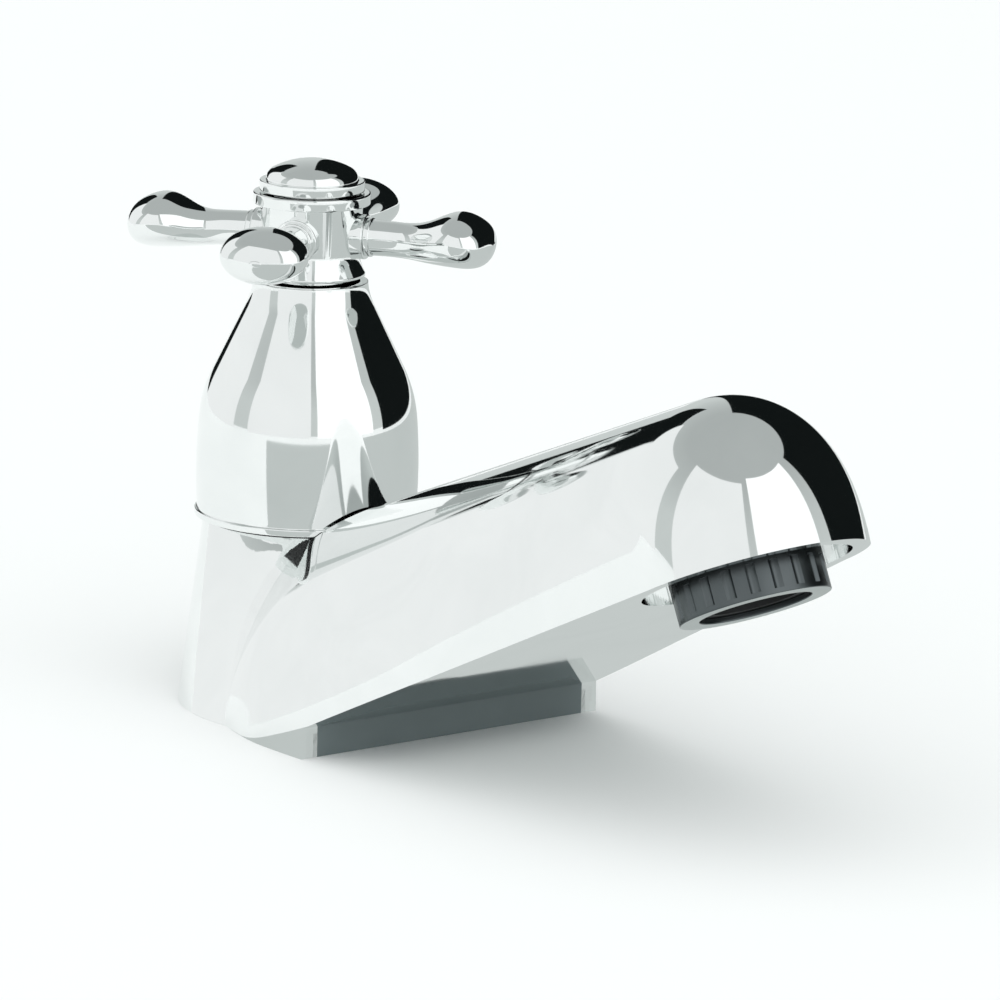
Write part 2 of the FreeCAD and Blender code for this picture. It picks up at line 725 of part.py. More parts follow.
def makeBaseInsert():
    reach = "4 * footRadius"
    slab = box("insertSlab", reach, reach, "insertThickness",
               across="-2 * footRadius", back="-frontFaceForward")
    plate = combine("Common", "insertPlate", shellForm("insertForm", "shellWall + seamGap"), slab)
    rib = box("frontRib", "2 * lipHalfWidthLow", "lipThickness",
              "frontFaceHeight + lipThickness * cos(lipAngle)",
              across="-lipHalfWidthLow", back="-frontFaceForward")
    lip = document.addObject("Part::Wedge", "slopingLip")
    bind(lip, Xmin="-lipHalfWidthHigh", Xmax="lipHalfWidthHigh",
         X2min="-lipHalfWidthLow", X2max="lipHalfWidthLow",
         Ymin="seamGap - lipLength", Ymax="0", Zmin="0", Zmax="lipThickness", Z2min="0", Z2max="lipThickness")
    place(lip, back="-frontFaceForward", up="frontFaceHeight", axis=(-1, 0, 0), turn="lipAngle")
    groove = cut("gasketGroove",
                 cylinder("grooveOutside", "gasketRadius + threadGap", "2 * gasketThickness",
                          back="-footForward", up="-gasketThickness"),
                 cylinder("grooveInside", "gasketRadius - gasketWidth - threadGap", "2 * gasketThickness",
                          back="-footForward", up="-gasketThickness"))
    bushHole = cylinder("bushHole", "bushRadius + pieceGap", "4 * insertThickness", up="-insertThickness")
    holes = [bushHole, groove]
    for index, (across, back) in enumerate(screwSpots()):
        holes.append(cylinder("headHole%d" % index, "insertHeadRadius + pieceGap",
                              "insertHeadSink + insertHeadHeight + insertThickness",
                              across=across, back=back, up="-insertThickness"))
        holes.append(cylinder("shankHole%d" % index, "insertScrewRadius + pieceGap", "2 * insertThickness",
                              across=across, back=back))
    solid = fuse("insertSolid", plate, rib, lip)
    addPiece(cut("baseInsert", solid, fuse("insertHoles", *holes)), "base_insert")
    gasket = turned("baseGasket", ring("gasketRadius - gasketWidth", "gasketRadius", "0", "gasketThickness"))
    place(gasket, back="-footForward")
    addPiece(gasket, "base_gasket")


def makeInsertScrews():
    headTop = "insertHeadSink + insertHeadHeight"
    screws = []
    for index, (across, back) in enumerate(screwSpots()):
        screw = turned("insertScrew%d" % index, [
            ("insertDriveRadius", "insertHeadSink"),
            ("insertHeadRadius", "insertHeadSink"),
            ("insertHeadRadius", headTop),
            ("insertScrewRadius", headTop),
            ("insertScrewRadius", headTop + " + insertScrewLength"),
            ("0", headTop + " + insertScrewLength"),
            ("0", "insertHeadSink + insertDriveDepth"),
            ("insertDriveRadius", "insertHeadSink + insertDriveDepth")])
        place(screw, across=across, back=back)
        screws.append(screw)
    addPiece(gather("insertScrews", screws), "insert_screws")


# ---------------------------------------------------------------- inlet, seat and waterway
def makeWaterCore():
    barrel = cylinder("coreBarrel", "barrelRadius", "coreTop - insertThickness", up="insertThickness")
    flange = cylinder("coreFlange", "flangeRadius", "flangeThickness", back="-screwCircleForward",
                      up="insertThickness")
    boss = cylinder("coreBoss", "socketRadius", "socketDepth")
    layAlongTube(boss, "tubeStartForward", "tubeStartHeight")
    socket = cylinder("coreSocket", "tubeRadius + threadGap", "2 * socketDepth")
    layAlongTube(socket, "tubeStartForward", "tubeStartHeight")
    port = cylinder("corePort", "tubeBore", "4 * tubeStandOff")
    layAlongTube(port, "tubeStartForward - 2 * tubeStandOff * sin(tubeLean)",
                 "tubeStartHeight - 2 * tubeStandOff * cos(tubeLean)")
    holes = [socket, port,
             cylinder("bushSocket", "bushRadius + threadGap", "bushHeight"),
             cylinder("seatHole", "seatBodyRadius + threadGap", "coreTop"),
             cylinder("coreChamber", "coreBoreRadius", "coreTop", up="diaphragmTop")]
    for index, (across, back) in enumerate(screwSpots()):
        holes.append(cylinder("flangeHole%d" % index, "insertScrewRadius + threadGap",
                              "2 * insertThickness + flangeThickness", across=across, back=back))
    solid = fuse("coreSolid", barrel, flange, boss)
    addPiece(cut("waterCore", solid, fuse("coreHoles", *holes)), "water_core")


def makeInlet():
    addPiece(turned("inletBush", [
        ("inletThreadRadius", "0"),
        ("bushRadius", "0"),
        ("bushRadius", "bushHeight"),
        ("inletPortRadius", "bushHeight"),
        ("inletPortRadius", "inletThreadLength"),
        ("inletThreadRadius", "inletThreadLength")]), "inlet_bush")
    addPiece(turned("valveSeat", [
        ("seatPortRadius", "bushHeight"),
        ("seatBodyRadius", "bushHeight"),
        ("seatBodyRadius", "diaphragmTop"),
        ("seatFlangeRadius", "diaphragmTop"),
        ("seatFlangeRadius", "diaphragmTop + seatFlangeThickness"),
        ("seatLipRadius", "diaphragmTop + seatFlangeThickness"),
        ("seatLipRadius", "seatTop"),
        ("seatPortRadius", "seatTop")]), "valve_seat")


def makeWaterway():
    tube = turned("waterwayTube", ring("tubeBore", "tubeRadius", "0", "tubeLength"))
    layAlongTube(tube, "tubeStartForward", "tubeStartHeight")
    addPiece(tube, "waterway_tube")
    nipple = turned("nippleForm", [
        ("0", "nippleStart"),
        ("nippleRadius", "nippleStart"),
        ("nippleRadius", "recessFloorTop"),
        ("nippleFlangeRadius", "recessFloorTop"),
        ("nippleFlangeRadius", "recessFloorTop + nippleFlangeThickness"),
        ("chamberRadius", "recessFloorTop + nippleFlangeThickness"),
        ("chamberRadius", "nippleTop"),
        ("0", "nippleTop")])
    placeOnOutlet(nipple)
    mouthForward = "tubeEndForward - socketDepth * sin(tubeLean)"
    mouthHeight = "tubeEndHeight - socketDepth * cos(tubeLean)"
    boss = cylinder("nippleBoss", "socketRadius", "socketDepth + tubeEndBack")
    layAlongTube(boss, mouthForward, mouthHeight)
    socket = cylinder("nippleSocket", "tubeRadius + threadGap", "socketDepth")
    layAlongTube(socket, mouthForward, mouthHeight)
    port = cylinder("nipplePort", "tubeBore", "socketDepth + tubeEndBack")
    layAlongTube(port, mouthForward, mouthHeight)
    bore = cylinder("nippleBore", "nippleBore", "nippleTop - chamberCeiling")
    placeOnOutlet(bore)
    solid = fuse("nippleSolid", nipple, boss)
    addPiece(cut("outletNipple", solid, fuse("nippleHoles", socket, port, bore)), "outlet_nipple")


# ---------------------------------------------------------------- aerator
def makeAerator():
    fluted = turned("aeratorRing", [
        ("ringOpening", "0"),
        ("ringRadius", "0"),
        ("ringRadius", "ringHeight"),
        ("nippleRadius + threadGap", "ringHeight"),
        ("nippleRadius + threadGap", "ringLip"),
        ("ringOpening", "ringLip")])
    drill(fluted, "flute", "ringRadius + fluteRadius - fluteDepth", "fluteRadius",
          "fluteStart", "fluteLength", copies="fluteCount")
    placeOnOutlet(fluted)
    addPiece(fluted, "aerator_ring")

    gridLow = "insertStart + gridRise"
    gridHigh = "insertStart + gridRise + gridThickness"
    insert = turned("aeratorInsert", [
        ("insertBore", "insertStart"),
        ("insertFlangeRadius", "insertStart"),
        ("insertFlangeRadius", "aeratorWasherStart"),
        ("insertBodyRadius", "aeratorWasherStart"),
        ("insertBodyRadius", "insertStart + insertHeight"),
        ("insertBore", "insertStart + insertHeight"),
        ("insertBore", gridHigh),
        ("0", gridHigh),
        ("0", gridLow),
        ("insertBore", gridLow)])
    drill(insert, "gridCentre", "0", "gridHoleRadius", gridLow, "2 * gridThickness")
    for circle in (1, 2, 3):
        drill(insert, "gridCircle%d" % circle, "%d * gridPitch" % circle, "gridHoleRadius", gridLow,
              "2 * gridThickness", copies="%d" % (6 * circle))
    placeOnOutlet(insert)
    addPiece(insert, "aerator_insert")

    washer = turned("aeratorWasher", ring("insertBodyRadius + pieceGap", "insertFlangeRadius",
                                          "aeratorWasherStart", "nippleStart"))
    placeOnOutlet(washer)
    addPiece(washer, "aerator_washer")

    screens = [cylinder("screen%d" % index, "insertBore - pieceGap", "screenThickness",
                        up="insertStart + screenRise + %d * screenSpacing" % index) for index in range(2)]
    stack = gather("aeratorScreens", screens)
    placeOnOutlet(stack)
    addPiece(stack, "aerator_screens")

    low = "insertStart + diffuserRise"
    diffuser = turned("aeratorDiffuser", ring("0", "insertBore - pieceGap",
                                              low, low + " + diffuserThickness"))
    drill(diffuser, "diffuserHole", "diffuserHoleCircle", "diffuserHoleRadius", low, "2 * diffuserThickness",
          copies="diffuserHoleCount")
    placeOnOutlet(diffuser)
    addPiece(diffuser, "aerator_diffuser")


# ---------------------------------------------------------------- headwork
def makeBonnet():
    form = turned("bonnetForm", [
        ("jumperRadius + pieceGap", "bonnetStart"),
        ("bonnetThreadRadius", "bonnetStart"),
        ("bonnetThreadRadius", "hexTop"),
        ("bonnetBodyRadius", "hexTop"),
        ("bonnetBodyRadius", "bonnetShoulder"),
        ("bonnetNeckRadius", "bonnetShoulder"),
        ("bonnetNeckRadius", "bonnetTop"),
        ("spindleRadius + turningGap", "bonnetTop"),
        ("spindleRadius + turningGap", "guideTop"),
        ("pistonRadius + turningGap", "guideTop"),
        ("pistonRadius + turningGap", "jumperRoomTop"),
        ("jumperRadius + pieceGap", "jumperRoomTop")])
    hexagon = document.addObject("Part::Prism", "hexagon")
    hexagon.Polygon = 6
    bind(hexagon, Circumradius="bonnetHexFlats / 2 / cos(30)", Height="bonnetHexHeight")
    place(hexagon, up="hexStart")
    collar = cut("hexCollar", hexagon, cylinder("hexBore", "bonnetBodyRadius", "hexTop"))
    addPiece(fuse("bonnet", form, collar), "bonnet")
    addPiece(turned("bonnetWasher", ring("bonnetThreadRadius + pieceGap", "bonnetWasherRadius",
                                         "columnHeight", "hexStart")), "bonnet_washer")


def makePiston():
    addPiece(turned("valvePiston", [
        ("washerScrewRadius + threadGap", "jumperStart"),
        ("jumperRadius", "jumperStart"),
        ("jumperRadius", "pistonStart"),
        ("pistonRadius", "pistonStart"),
        ("pistonRadius", "pistonTop"),
        ("spindleRadius + threadGap", "pistonTop"),
        ("spindleRadius + threadGap", "pistonBoreFloor"),
        ("washerScrewRadius + threadGap", "pistonBoreFloor")]), "valve_piston")
    addPiece(turned("tapWasher", ring("washerScrewRadius + threadGap", "tapWasherRadius",
                                      "washerStart", "jumperStart")), "tap_washer")
    addPiece(turned("washerScrew", [
        ("0", "washerStart - washerHeadHeight"),
        ("washerHeadRadius", "washerStart - washerHeadHeight"),
        ("washerHeadRadius", "washerStart"),
        ("washerScrewRadius", "washerStart"),
        ("washerScrewRadius", "washerStart + washerScrewLength"),
        ("0", "washerStart + washerScrewLength")]), "washer_screw")


def makeSpindle():
    outline = [
        ("0", "spindleStart"),
        ("spindleRadius", "spindleStart"),
        ("spindleRadius", "collarStart"),
        ("collarRadius", "collarStart"),
        ("collarRadius", "collarTop"),
        ("spindleRadius", "collarTop")]
    grooves = [("sealGrooveRadius", "sealStart + %d * sealGrooveSpacing" % index, "sealGrooveWidth")
               for index in range(2)]
    for floor, low, width in grooves + [("clipGrooveRadius", "clipStart", "clipThickness")]:
        high = low + " + " + width
        outline += [("spindleRadius", low), (floor, low), (floor, high), ("spindleRadius", high)]
    drillRadius = "handleScrewRadius + threadGap"
    outline += [
        ("spindleRadius", "spindleTop"),
        (drillRadius, "spindleTop"),
        (drillRadius, "screwHoleFloor"),
        ("0", "screwHoleFloor")]
    spindle = turned("spindle", outline)
    drill(spindle, "spline", "spindleRadius + splineDepth", "2 * splineDepth", "spindleTop - splineLength",
          "2 * splineLength", copies="splineCount")
    addPiece(spindle, "spindle")

    seals = []
    for index in range(2):
        seal = document.addObject("Part::Torus", "seal%d" % index)
        bind(seal, Radius1="sealGrooveRadius + sealSection + turningGap", Radius2="sealSection")
        place(seal, up="sealStart + %d * sealGrooveSpacing + sealGrooveWidth / 2" % index)
        seals.append(seal)
    addPiece(gather("spindleSeals", seals), "spindle_orings")
    addPiece(turned("thrustWasher", ring("spindleRadius + turningGap", "collarRadius", "collarTop",
                                         "collarTop + thrustThickness")), "thrust_washer")
    clip = cut("clipRing", cylinder("clipOutside", "clipRadius", "clipThickness", up="clipStart"),
               cylinder("clipInside", "clipGrooveRadius + turningGap", "clipThickness", up="clipStart"))
    mouth = box("clipMouth", "clipMouth", "2 * clipRadius", "clipThickness",
                across="-clipMouth / 2", up="clipStart")
    addPiece(cut("spindleClip", clip, mouth), "spindle_circlip")


# ---------------------------------------------------------------- bell
def makeBell():
    webLow = "bellStart + bellWebRise"
    webHigh = webLow + " + bellWebThickness"
    webHole = "bonnetNeckRadius + pieceGap"
    addPiece(turned("bellCover", [
        ("bellRimRadius", "bellStart"),
        ("bellRimRadius", "bellStart + bellRimHeight"),
        ("bellRimRadius - bellRimStep", "bellStart + bellRimHeight", "bellBarrelArc"),
        ("bellBarrelRadius", "bellStart + bellBarrelHeight", "bellShoulderArc"),
        ("bellShoulderRadius", "bellStart + bellShoulderHeight"),
        ("bellSlopeRadius", "bellStart + bellSlopeHeight", "-bellNeckArc"),
        ("bellNeckRadius", "bellStart + bellHeight"),
        ("bellNeckRadius - bellWall", "bellStart + bellHeight", "bellNeckArc + bellWall"),
        ("bellSlopeRadius - bellWall", "bellStart + bellSlopeHeight"),
        ("bellShoulderRadius - bellWall", webHigh),
        (webHole, webHigh),
        (webHole, webLow),
        ("bellShoulderRadius - bellWall", webLow),
        ("bellBarrelRadius - bellWall", "bellStart + bellBarrelHeight"),
        ("bellRimRadius - bellRimStep - bellWall", "bellStart")]), "bell_cover")
    addPiece(turned("bellSeal", ring("columnTopRadius - bellSealWidth", "columnTopRadius",
                                     "columnHeight", "bellStart")), "bell_seal")
    addPiece(turned("bellLockRing", ring("bonnetNeckRadius + threadGap", "lockRingRadius",
                                         "lockStart", "lockStart + lockRingHeight")), "bell_lock_ring")


# ---------------------------------------------------------------- handle
def spoke(name, radius, start, end, quarter):
    """Makes a level round bar that points away from the axis, on one of the handle's four quarters."""
    bar = cylinder(name, radius, "(%s) - (%s)" % (end, start))
    bar.Placement = FreeCAD.Placement(FreeCAD.Vector(), FreeCAD.Rotation(FreeCAD.Vector(0, 1, 0), 90))
    bar.setExpression("Placement.Base.x", spelled(start))
    bar.setExpression("Placement.Base.z", spelled("armAxis"))
    holder = gather(name + "_turned", [bar])
    place(holder, turn="%d" % (90 * quarter))
    return holder


def makeHub():
    form = turned("hubForm", [
        ("spindleRadius + threadGap", "hubStart - hubSpigotLength"),
        ("hubSpigotRadius", "hubStart - hubSpigotLength"),
        ("hubSpigotRadius", "hubStart"),
        ("hubFootRadius", "hubStart"),
        ("hubFootRadius", "hubStart + hubFootEdge", "-hubFlareArc"),
        ("hubWaistRadius", "hubStart + hubWaistRise"),
        ("hubHighRadius", "hubTop - hubCollarHeight"),
        ("hubCollarRadius", "hubTop - hubCollarHeight"),
        ("hubCollarRadius", "hubTop"),
        ("hubRecessRadius", "hubTop"),
        ("hubRecessRadius", "hubFloor"),
        ("handleScrewRadius + pieceGap", "hubFloor"),
        ("handleScrewRadius + pieceGap", "socketTop"),
        ("spindleRadius + threadGap", "socketTop")])
    bossStart = "(hubRecessRadius + hubWaistRadius) / 2"
    bosses = [spoke("boss%d" % quarter, "bossRadius", bossStart, "bossReach", quarter)
              for quarter in range(4)]
    holes = [spoke("tenonHole%d" % quarter, "armTenonRadius + threadGap", "bossReach - armTenonLength",
                   "2 * bossReach", quarter) for quarter in range(4)]
    hub = cut("handleHub", fuse("hubSolid", form, *bosses), fuse("tenonHoles", *holes))
    place(hub, turn="handleAngle")
    addPiece(hub, "handle_hub")


def makeArm(label, quarter):
    """Makes one arm: a slim neck and a broad bulb that hangs a little lower and rounds off at the tip."""
    stations = [("armStart", "armRootRadius", "0", "0"),
                ("armWaistReach", "armWaistRadius", "0", "0"),
                ("armSwellReach", "armSwellRadius", "armSwellSpread", "armBulbDrop / 4"),
                ("armShoulderReach", "armShoulderRadius", "armShoulderSpread", "2 * armBulbDrop / 3"),
                ("armBulbReach", "armBulbRadius", "armBulbSpread", "armBulbDrop"),
                ("armBrowReach", "armBrowRadius", "armBrowSpread", "armBulbDrop"),
                ("armNoseReach", "armNoseRadius", "armNoseSpread", "armBulbDrop - armNoseLift"),
                ("armTipReach", "armTipRadius", "armTipSpread", "armBulbDrop - armTipLift")]
    acrossArm = FreeCAD.Rotation(FreeCAD.Vector(1, 1, 1), 120)
    ovals = []
    for index, (reach, radius, spread, drop) in enumerate(stations):
        oval = document.addObject("Part::Ellipse", "%s_oval%d" % (label, index))
        bind(oval, MajorRadius="%s + %s" % (radius, spread), MinorRadius=radius)
        oval.Placement = FreeCAD.Placement(FreeCAD.Vector(), acrossArm)
        oval.setExpression("Placement.Base.x", spelled(reach))
        oval.setExpression("Placement.Base.z", spelled("hubStart + armRise + %s - (%s)" % (radius, drop)))
        ovals.append(oval)
    bulb = document.addObject("Part::Loft", label + "_bulb")
    bulb.Sections = ovals
    bulb.Solid = True
    collar = spoke(label + "_collar", "armCollarRadius", "bossReach", "armStart", 0)
    tenon = spoke(label + "_tenon", "armTenonRadius", "bossReach - armTenonLength + pieceGap", "armStart", 0)
    arm = fuse(label + "_arm", bulb, collar, tenon)
    place(arm, turn="handleAngle + %d" % (90 * quarter))
    addPiece(arm, label)


def makeHandleFastenings():
    headTop = "handleHeadStart + handleHeadHeight"
    addPiece(turned("handleScrew", [
        ("0", "handleHeadStart - handleScrewLength"),
        ("handleScrewRadius", "handleHeadStart - handleScrewLength"),
        ("handleScrewRadius", "handleHeadStart"),
        ("handleHeadRadius", "handleHeadStart"),
        ("handleHeadRadius", headTop),
        ("handleDriveRadius", headTop),
        ("handleDriveRadius", headTop + " - handleDriveDepth"),
        ("0", headTop + " - handleDriveDepth")]), "handle_screw")
    addPiece(turned("handleWasher", ring("handleScrewRadius + pieceGap", "handleWasherRadius",
                                         "hubFloor", "handleHeadStart")), "handle_screw_washer")
    spigot = "hubRecessRadius - threadGap"
    ceiling = "capStart + capRingHeight / 2"
    addPiece(turned("domeCap", [
        (spigot + " - capSpigotWall", "capStart - capSpigotLength"),
        (spigot, "capStart - capSpigotLength"),
        (spigot, "capStart"),
        ("capRingRadius", "capStart"),
        ("capRingRadius", "capRingTop"),
        ("capDomeRadius", "capRingTop", "capSideArc"),
        ("capShoulderRadius", "capRingTop + capShoulderRise", "capTopArc"),
        ("0", "capRingTop + capDomeHeight"),
        ("0", ceiling),
        (spigot + " - capSpigotWall", ceiling)]), "dome_cap")


# ---------------------------------------------------------------- the whole tap
makeTapBody()
makeBaseInsert()
makeInsertScrews()
makeWaterCore()
makeInlet()
makeWaterway()
makeAerator()
makeBonnet()
makePiston()
makeSpindle()
makeBell()
makeHub()
for quarter, side in enumerate(("right", "back", "left", "front")):
    makeArm("handle_arm_" + side, quarter)
makeHandleFastenings()
document.recompute()

for item in document.Objects:
    if "Invalid" in item.State or "Error" in item.State:
        raise RuntimeError(item.Name + " failed: " + ", ".join(item.State))
for label, item in pieces.items():
    if item.Shape.isNull() or not item.Shape.isValid():
        raise RuntimeError(label + " has no valid shape")
os.makedirs("parts", exist_ok=True)
for label, item in pieces.items():
    item.Shape.exportStep(os.path.join("parts", label + ".step"))
    print("%-20s %d solids, %9.1f mm3" % (label, len(item.Shape.Solids), item.Shape.Volume))
print(len(pieces), "pieces from", len(drivingSizes), "sizes")
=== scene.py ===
import bmesh
import bpy
import math
import numpy
from mathutils import Matrix, Vector
from mathutils.bvhtree import BVHTree
from mathutils.interpolate import poly_3d_calc


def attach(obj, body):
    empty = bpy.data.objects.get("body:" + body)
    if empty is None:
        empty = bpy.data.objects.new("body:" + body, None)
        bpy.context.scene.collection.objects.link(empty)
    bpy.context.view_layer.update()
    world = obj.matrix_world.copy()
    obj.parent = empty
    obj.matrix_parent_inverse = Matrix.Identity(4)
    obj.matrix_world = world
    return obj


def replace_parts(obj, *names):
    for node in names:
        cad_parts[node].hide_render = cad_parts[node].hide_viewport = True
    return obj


# A basin tap with a cross handle: polished shell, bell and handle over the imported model's hidden parts.
# Sizes are millimetres unless a name says otherwise, and the spout points to -Y.

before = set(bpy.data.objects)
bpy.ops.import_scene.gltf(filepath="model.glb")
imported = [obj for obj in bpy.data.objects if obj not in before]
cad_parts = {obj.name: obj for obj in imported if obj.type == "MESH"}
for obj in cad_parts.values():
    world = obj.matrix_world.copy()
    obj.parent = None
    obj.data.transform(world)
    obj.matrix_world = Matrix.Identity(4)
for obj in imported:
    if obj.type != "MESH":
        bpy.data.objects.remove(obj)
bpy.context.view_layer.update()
millimetre = 0.001
samePoint = 1e-7  # metres
noLength = 1e-8
print("frame loaded with", len(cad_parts), "nodes")


def showObject(name, mesh):
    shown = bpy.data.objects.new(name, mesh)
    bpy.context.scene.collection.objects.link(shown)
    return shown


def buildMesh(name, points, faces):
    mesh = bpy.data.meshes.new(name)
    mesh.from_pydata([Vector(point) * millimetre for point in points], [], faces)
    form = bmesh.new()
    form.from_mesh(mesh)
    bmesh.ops.remove_doubles(form, verts=form.verts, dist=samePoint)
    bmesh.ops.dissolve_degenerate(form, edges=form.edges, dist=noLength)
    bmesh.ops.recalc_face_normals(form, faces=form.faces)
    form.to_mesh(mesh)
    form.free()
    mesh.shade_smooth()
    return mesh


def keepCorners(mesh, degrees=32):
    mesh.set_sharp_from_angle(angle=math.radians(degrees))
    return mesh


def makePlain(shown):
    # the modifiers' result becomes the object's own mesh
    depsgraph = bpy.context.evaluated_depsgraph_get()
    mesh = bpy.data.meshes.new_from_object(shown.evaluated_get(depsgraph), depsgraph=depsgraph)
    shown.modifiers.clear()
    old = shown.data
    shown.data = mesh
    bpy.data.meshes.remove(old)
    return shown


def splineThrough(knots, values, steps, startSlope=None, endSlope=None):
    # a smooth curve through the values, natural at an end that is given no slope
    knots = numpy.array(knots, float)
    values = numpy.array(values, float).reshape(len(knots), -1)
    count = len(knots)
    gap = numpy.diff(knots)
    matrix = numpy.zeros((count, count))
    right = numpy.zeros(values.shape)
    rise = numpy.diff(values, axis=0) / gap[:, None]
    for row in range(1, count - 1):
        matrix[row, row - 1:row + 2] = gap[row], 2 * (gap[row - 1] + gap[row]), gap[row - 1]
        right[row] = 3 * (gap[row] * rise[row - 1] + gap[row - 1] * rise[row])
    matrix[0, :2] = (1, 0) if startSlope is not None else (2, 1)
    right[0] = startSlope if startSlope is not None else 3 * rise[0]
    matrix[-1, -2:] = (0, 1) if endSlope is not None else (1, 2)
    right[-1] = endSlope if endSlope is not None else 3 * rise[-1]
    slopes = numpy.linalg.solve(matrix, right)
    result = []
    for step in steps:
        span = min(max(int(numpy.searchsorted(knots, step, side="right")) - 1, 0), count - 2)
        share = (step - knots[span]) / gap[span]
        here, there = values[span], values[span + 1]
        slopeHere, slopeThere = slopes[span] * gap[span], slopes[span + 1] * gap[span]
        result.append((2 * share ** 3 - 3 * share ** 2 + 1) * here
                      + (3 * share ** 2 - 2 * share ** 3) * there
                      + (share ** 3 - 2 * share ** 2 + share) * slopeHere
                      + (share ** 3 - share ** 2) * slopeThere)
    return numpy.array(result)


def arcPoints(start, end, radius, steps=24):
    # the short arc between two points of an outline; a positive radius bulges to the right of the way
    chord = Vector(end) - Vector(start)
    middle = (Vector(end) + Vector(start)) / 2
    side = Vector((chord.y, -chord.x)).normalized() * math.copysign(1, radius)
    away = math.sqrt(radius * radius - chord.length_squared / 4)
    centre = middle - side * away
    half = math.asin(chord.length / 2 / abs(radius))
    points = []
    for step in range(1, steps):
        angle = half * (2 * step / steps - 1) * -math.copysign(1, radius)
        turnedSide = Vector((side.x * math.cos(angle) + side.y * math.sin(angle),
                             side.y * math.cos(angle) - side.x * math.sin(angle)))
        points.append(tuple(centre + turnedSide * abs(radius)))
    return points


def easeCorners(outline, size, closed=True, corner=22, most=0.45, steps=5):
    # a small round edge in place of each corner of an outline, never past most of a side
    eased = []
    for index, point in enumerate(outline):
        if not closed and index in (0, len(outline) - 1):
            eased.append(tuple(point))
            continue
        here = Vector(point)
        before = Vector(outline[index - 1]) - here
        after = Vector(outline[(index + 1) % len(outline)]) - here
        turn = math.degrees(math.pi - before.angle(after))
        if turn < corner:
            eased.append(tuple(point))
            continue
        first = here + before.normalized() * min(size, before.length * most)
        last = here + after.normalized() * min(size, after.length * most)
        for step in range(steps + 1):
            share = step / steps
            eased.append(tuple(first * (1 - share) ** 2 + here * 2 * share * (1 - share) + last * share ** 2))
    return eased


def turnedMesh(name, outline, closed=True, steps=240):
    # a form turned about the upright axis from its outline of radius and height
    points = []
    for step in range(steps):
        angle = 2 * math.pi * step / steps
        points += [(radius * math.cos(angle), radius * math.sin(angle), height) for radius, height in outline]
    size = len(outline)
    faces = []
    for step in range(steps):
        following = (step + 1) % steps
        for index in range(size if closed else size - 1):
            nextIndex = (index + 1) % size
            faces.append((step * size + index, following * size + index,
                          following * size + nextIndex, step * size + nextIndex))
    return buildMesh(name, points, faces)


def onOutlet(mesh):
    # stands an upright form on the outlet's axis
    lean = math.radians(shell["undersideAngle"])
    forward = shell["outletForward"] + outlet["ringDrop"] * math.sin(lean)
    rise = outletRise - outlet["ringDrop"] * math.cos(lean)
    for vertex in mesh.vertices:
        x, y, z = vertex.co
        vertex.co = (x, y * math.cos(lean) + z * math.sin(lean) - forward * millimetre,
                     z * math.cos(lean) - y * math.sin(lean) + rise * millimetre)
    return mesh


# ways to finish a surface that more than one material shares
def startGroup(name, inputs, outputs):
    group = bpy.data.node_groups.new(name, "ShaderNodeTree")
    for label, kind, start in inputs:
        socket = group.interface.new_socket(name=label, in_out="INPUT", socket_type=kind)
        if start is not None:
            socket.default_value = start
    for label, kind in outputs:
        group.interface.new_socket(name=label, in_out="OUTPUT", socket_type=kind)
    entry = group.nodes.new("NodeGroupInput")
    leave = group.nodes.new("NodeGroupOutput")
    return group, entry, leave


def addNode(tree, kind, settings=None, **inputs):
    node = tree.nodes.new(kind)
    for name, setting in (settings or {}).items():
        setattr(node, name, setting)
    for name, source in inputs.items():
        socket = node.inputs[name.replace("_", " ")]
        if isinstance(source, bpy.types.NodeSocket):
            tree.links.new(source, socket)
        else:
            socket.default_value = source
    return node


def calculate(tree, operation, *values):
    node = addNode(tree, "ShaderNodeMath", {"operation": operation})
    for index, source in enumerate(values):
        if isinstance(source, bpy.types.NodeSocket):
            tree.links.new(source, node.inputs[index])
        else:
            node.inputs[index].default_value = source
    return node.outputs[0]


def makeHandling():
    # faint wiped patches: a mask that drifts over the surface
    group, entry, leave = startGroup("handlingPatches", [
        ("Vector", "NodeSocketVector", None), ("Scale", "NodeSocketFloat", 60.0),
        ("Spread", "NodeSocketFloat", 0.5)], [("Mask", "NodeSocketFloat")])
    broad = addNode(group, "ShaderNodeTexNoise", Vector=entry.outputs["Vector"], Scale=entry.outputs["Scale"],
                    Detail=3.0, Roughness=0.6, Distortion=0.8)
    spread = entry.outputs["Spread"]
    mask = addNode(group, "ShaderNodeMapRange", Value=broad.outputs["Fac"],
                   From_Min=calculate(group, "SUBTRACT", 0.5, spread),
                   From_Max=calculate(group, "ADD", 0.5, spread))
    group.links.new(mask.outputs["Result"], leave.inputs["Mask"])
    return group


def makeToolRings():
    # fine rings that a lathe leaves round an upright axis
    group, entry, leave = startGroup("toolRings", [
        ("Vector", "NodeSocketVector", None), ("Rings", "NodeSocketFloat", 900.0)],
        [("Height", "NodeSocketFloat")])
    wave = addNode(group, "ShaderNodeTexWave", {"wave_type": "BANDS", "bands_direction": "Z"},
                   Vector=entry.outputs["Vector"], Scale=entry.outputs["Rings"], Distortion=1.5, Detail=2.0)
    group.links.new(wave.outputs["Fac"], leave.inputs["Height"])
    return group


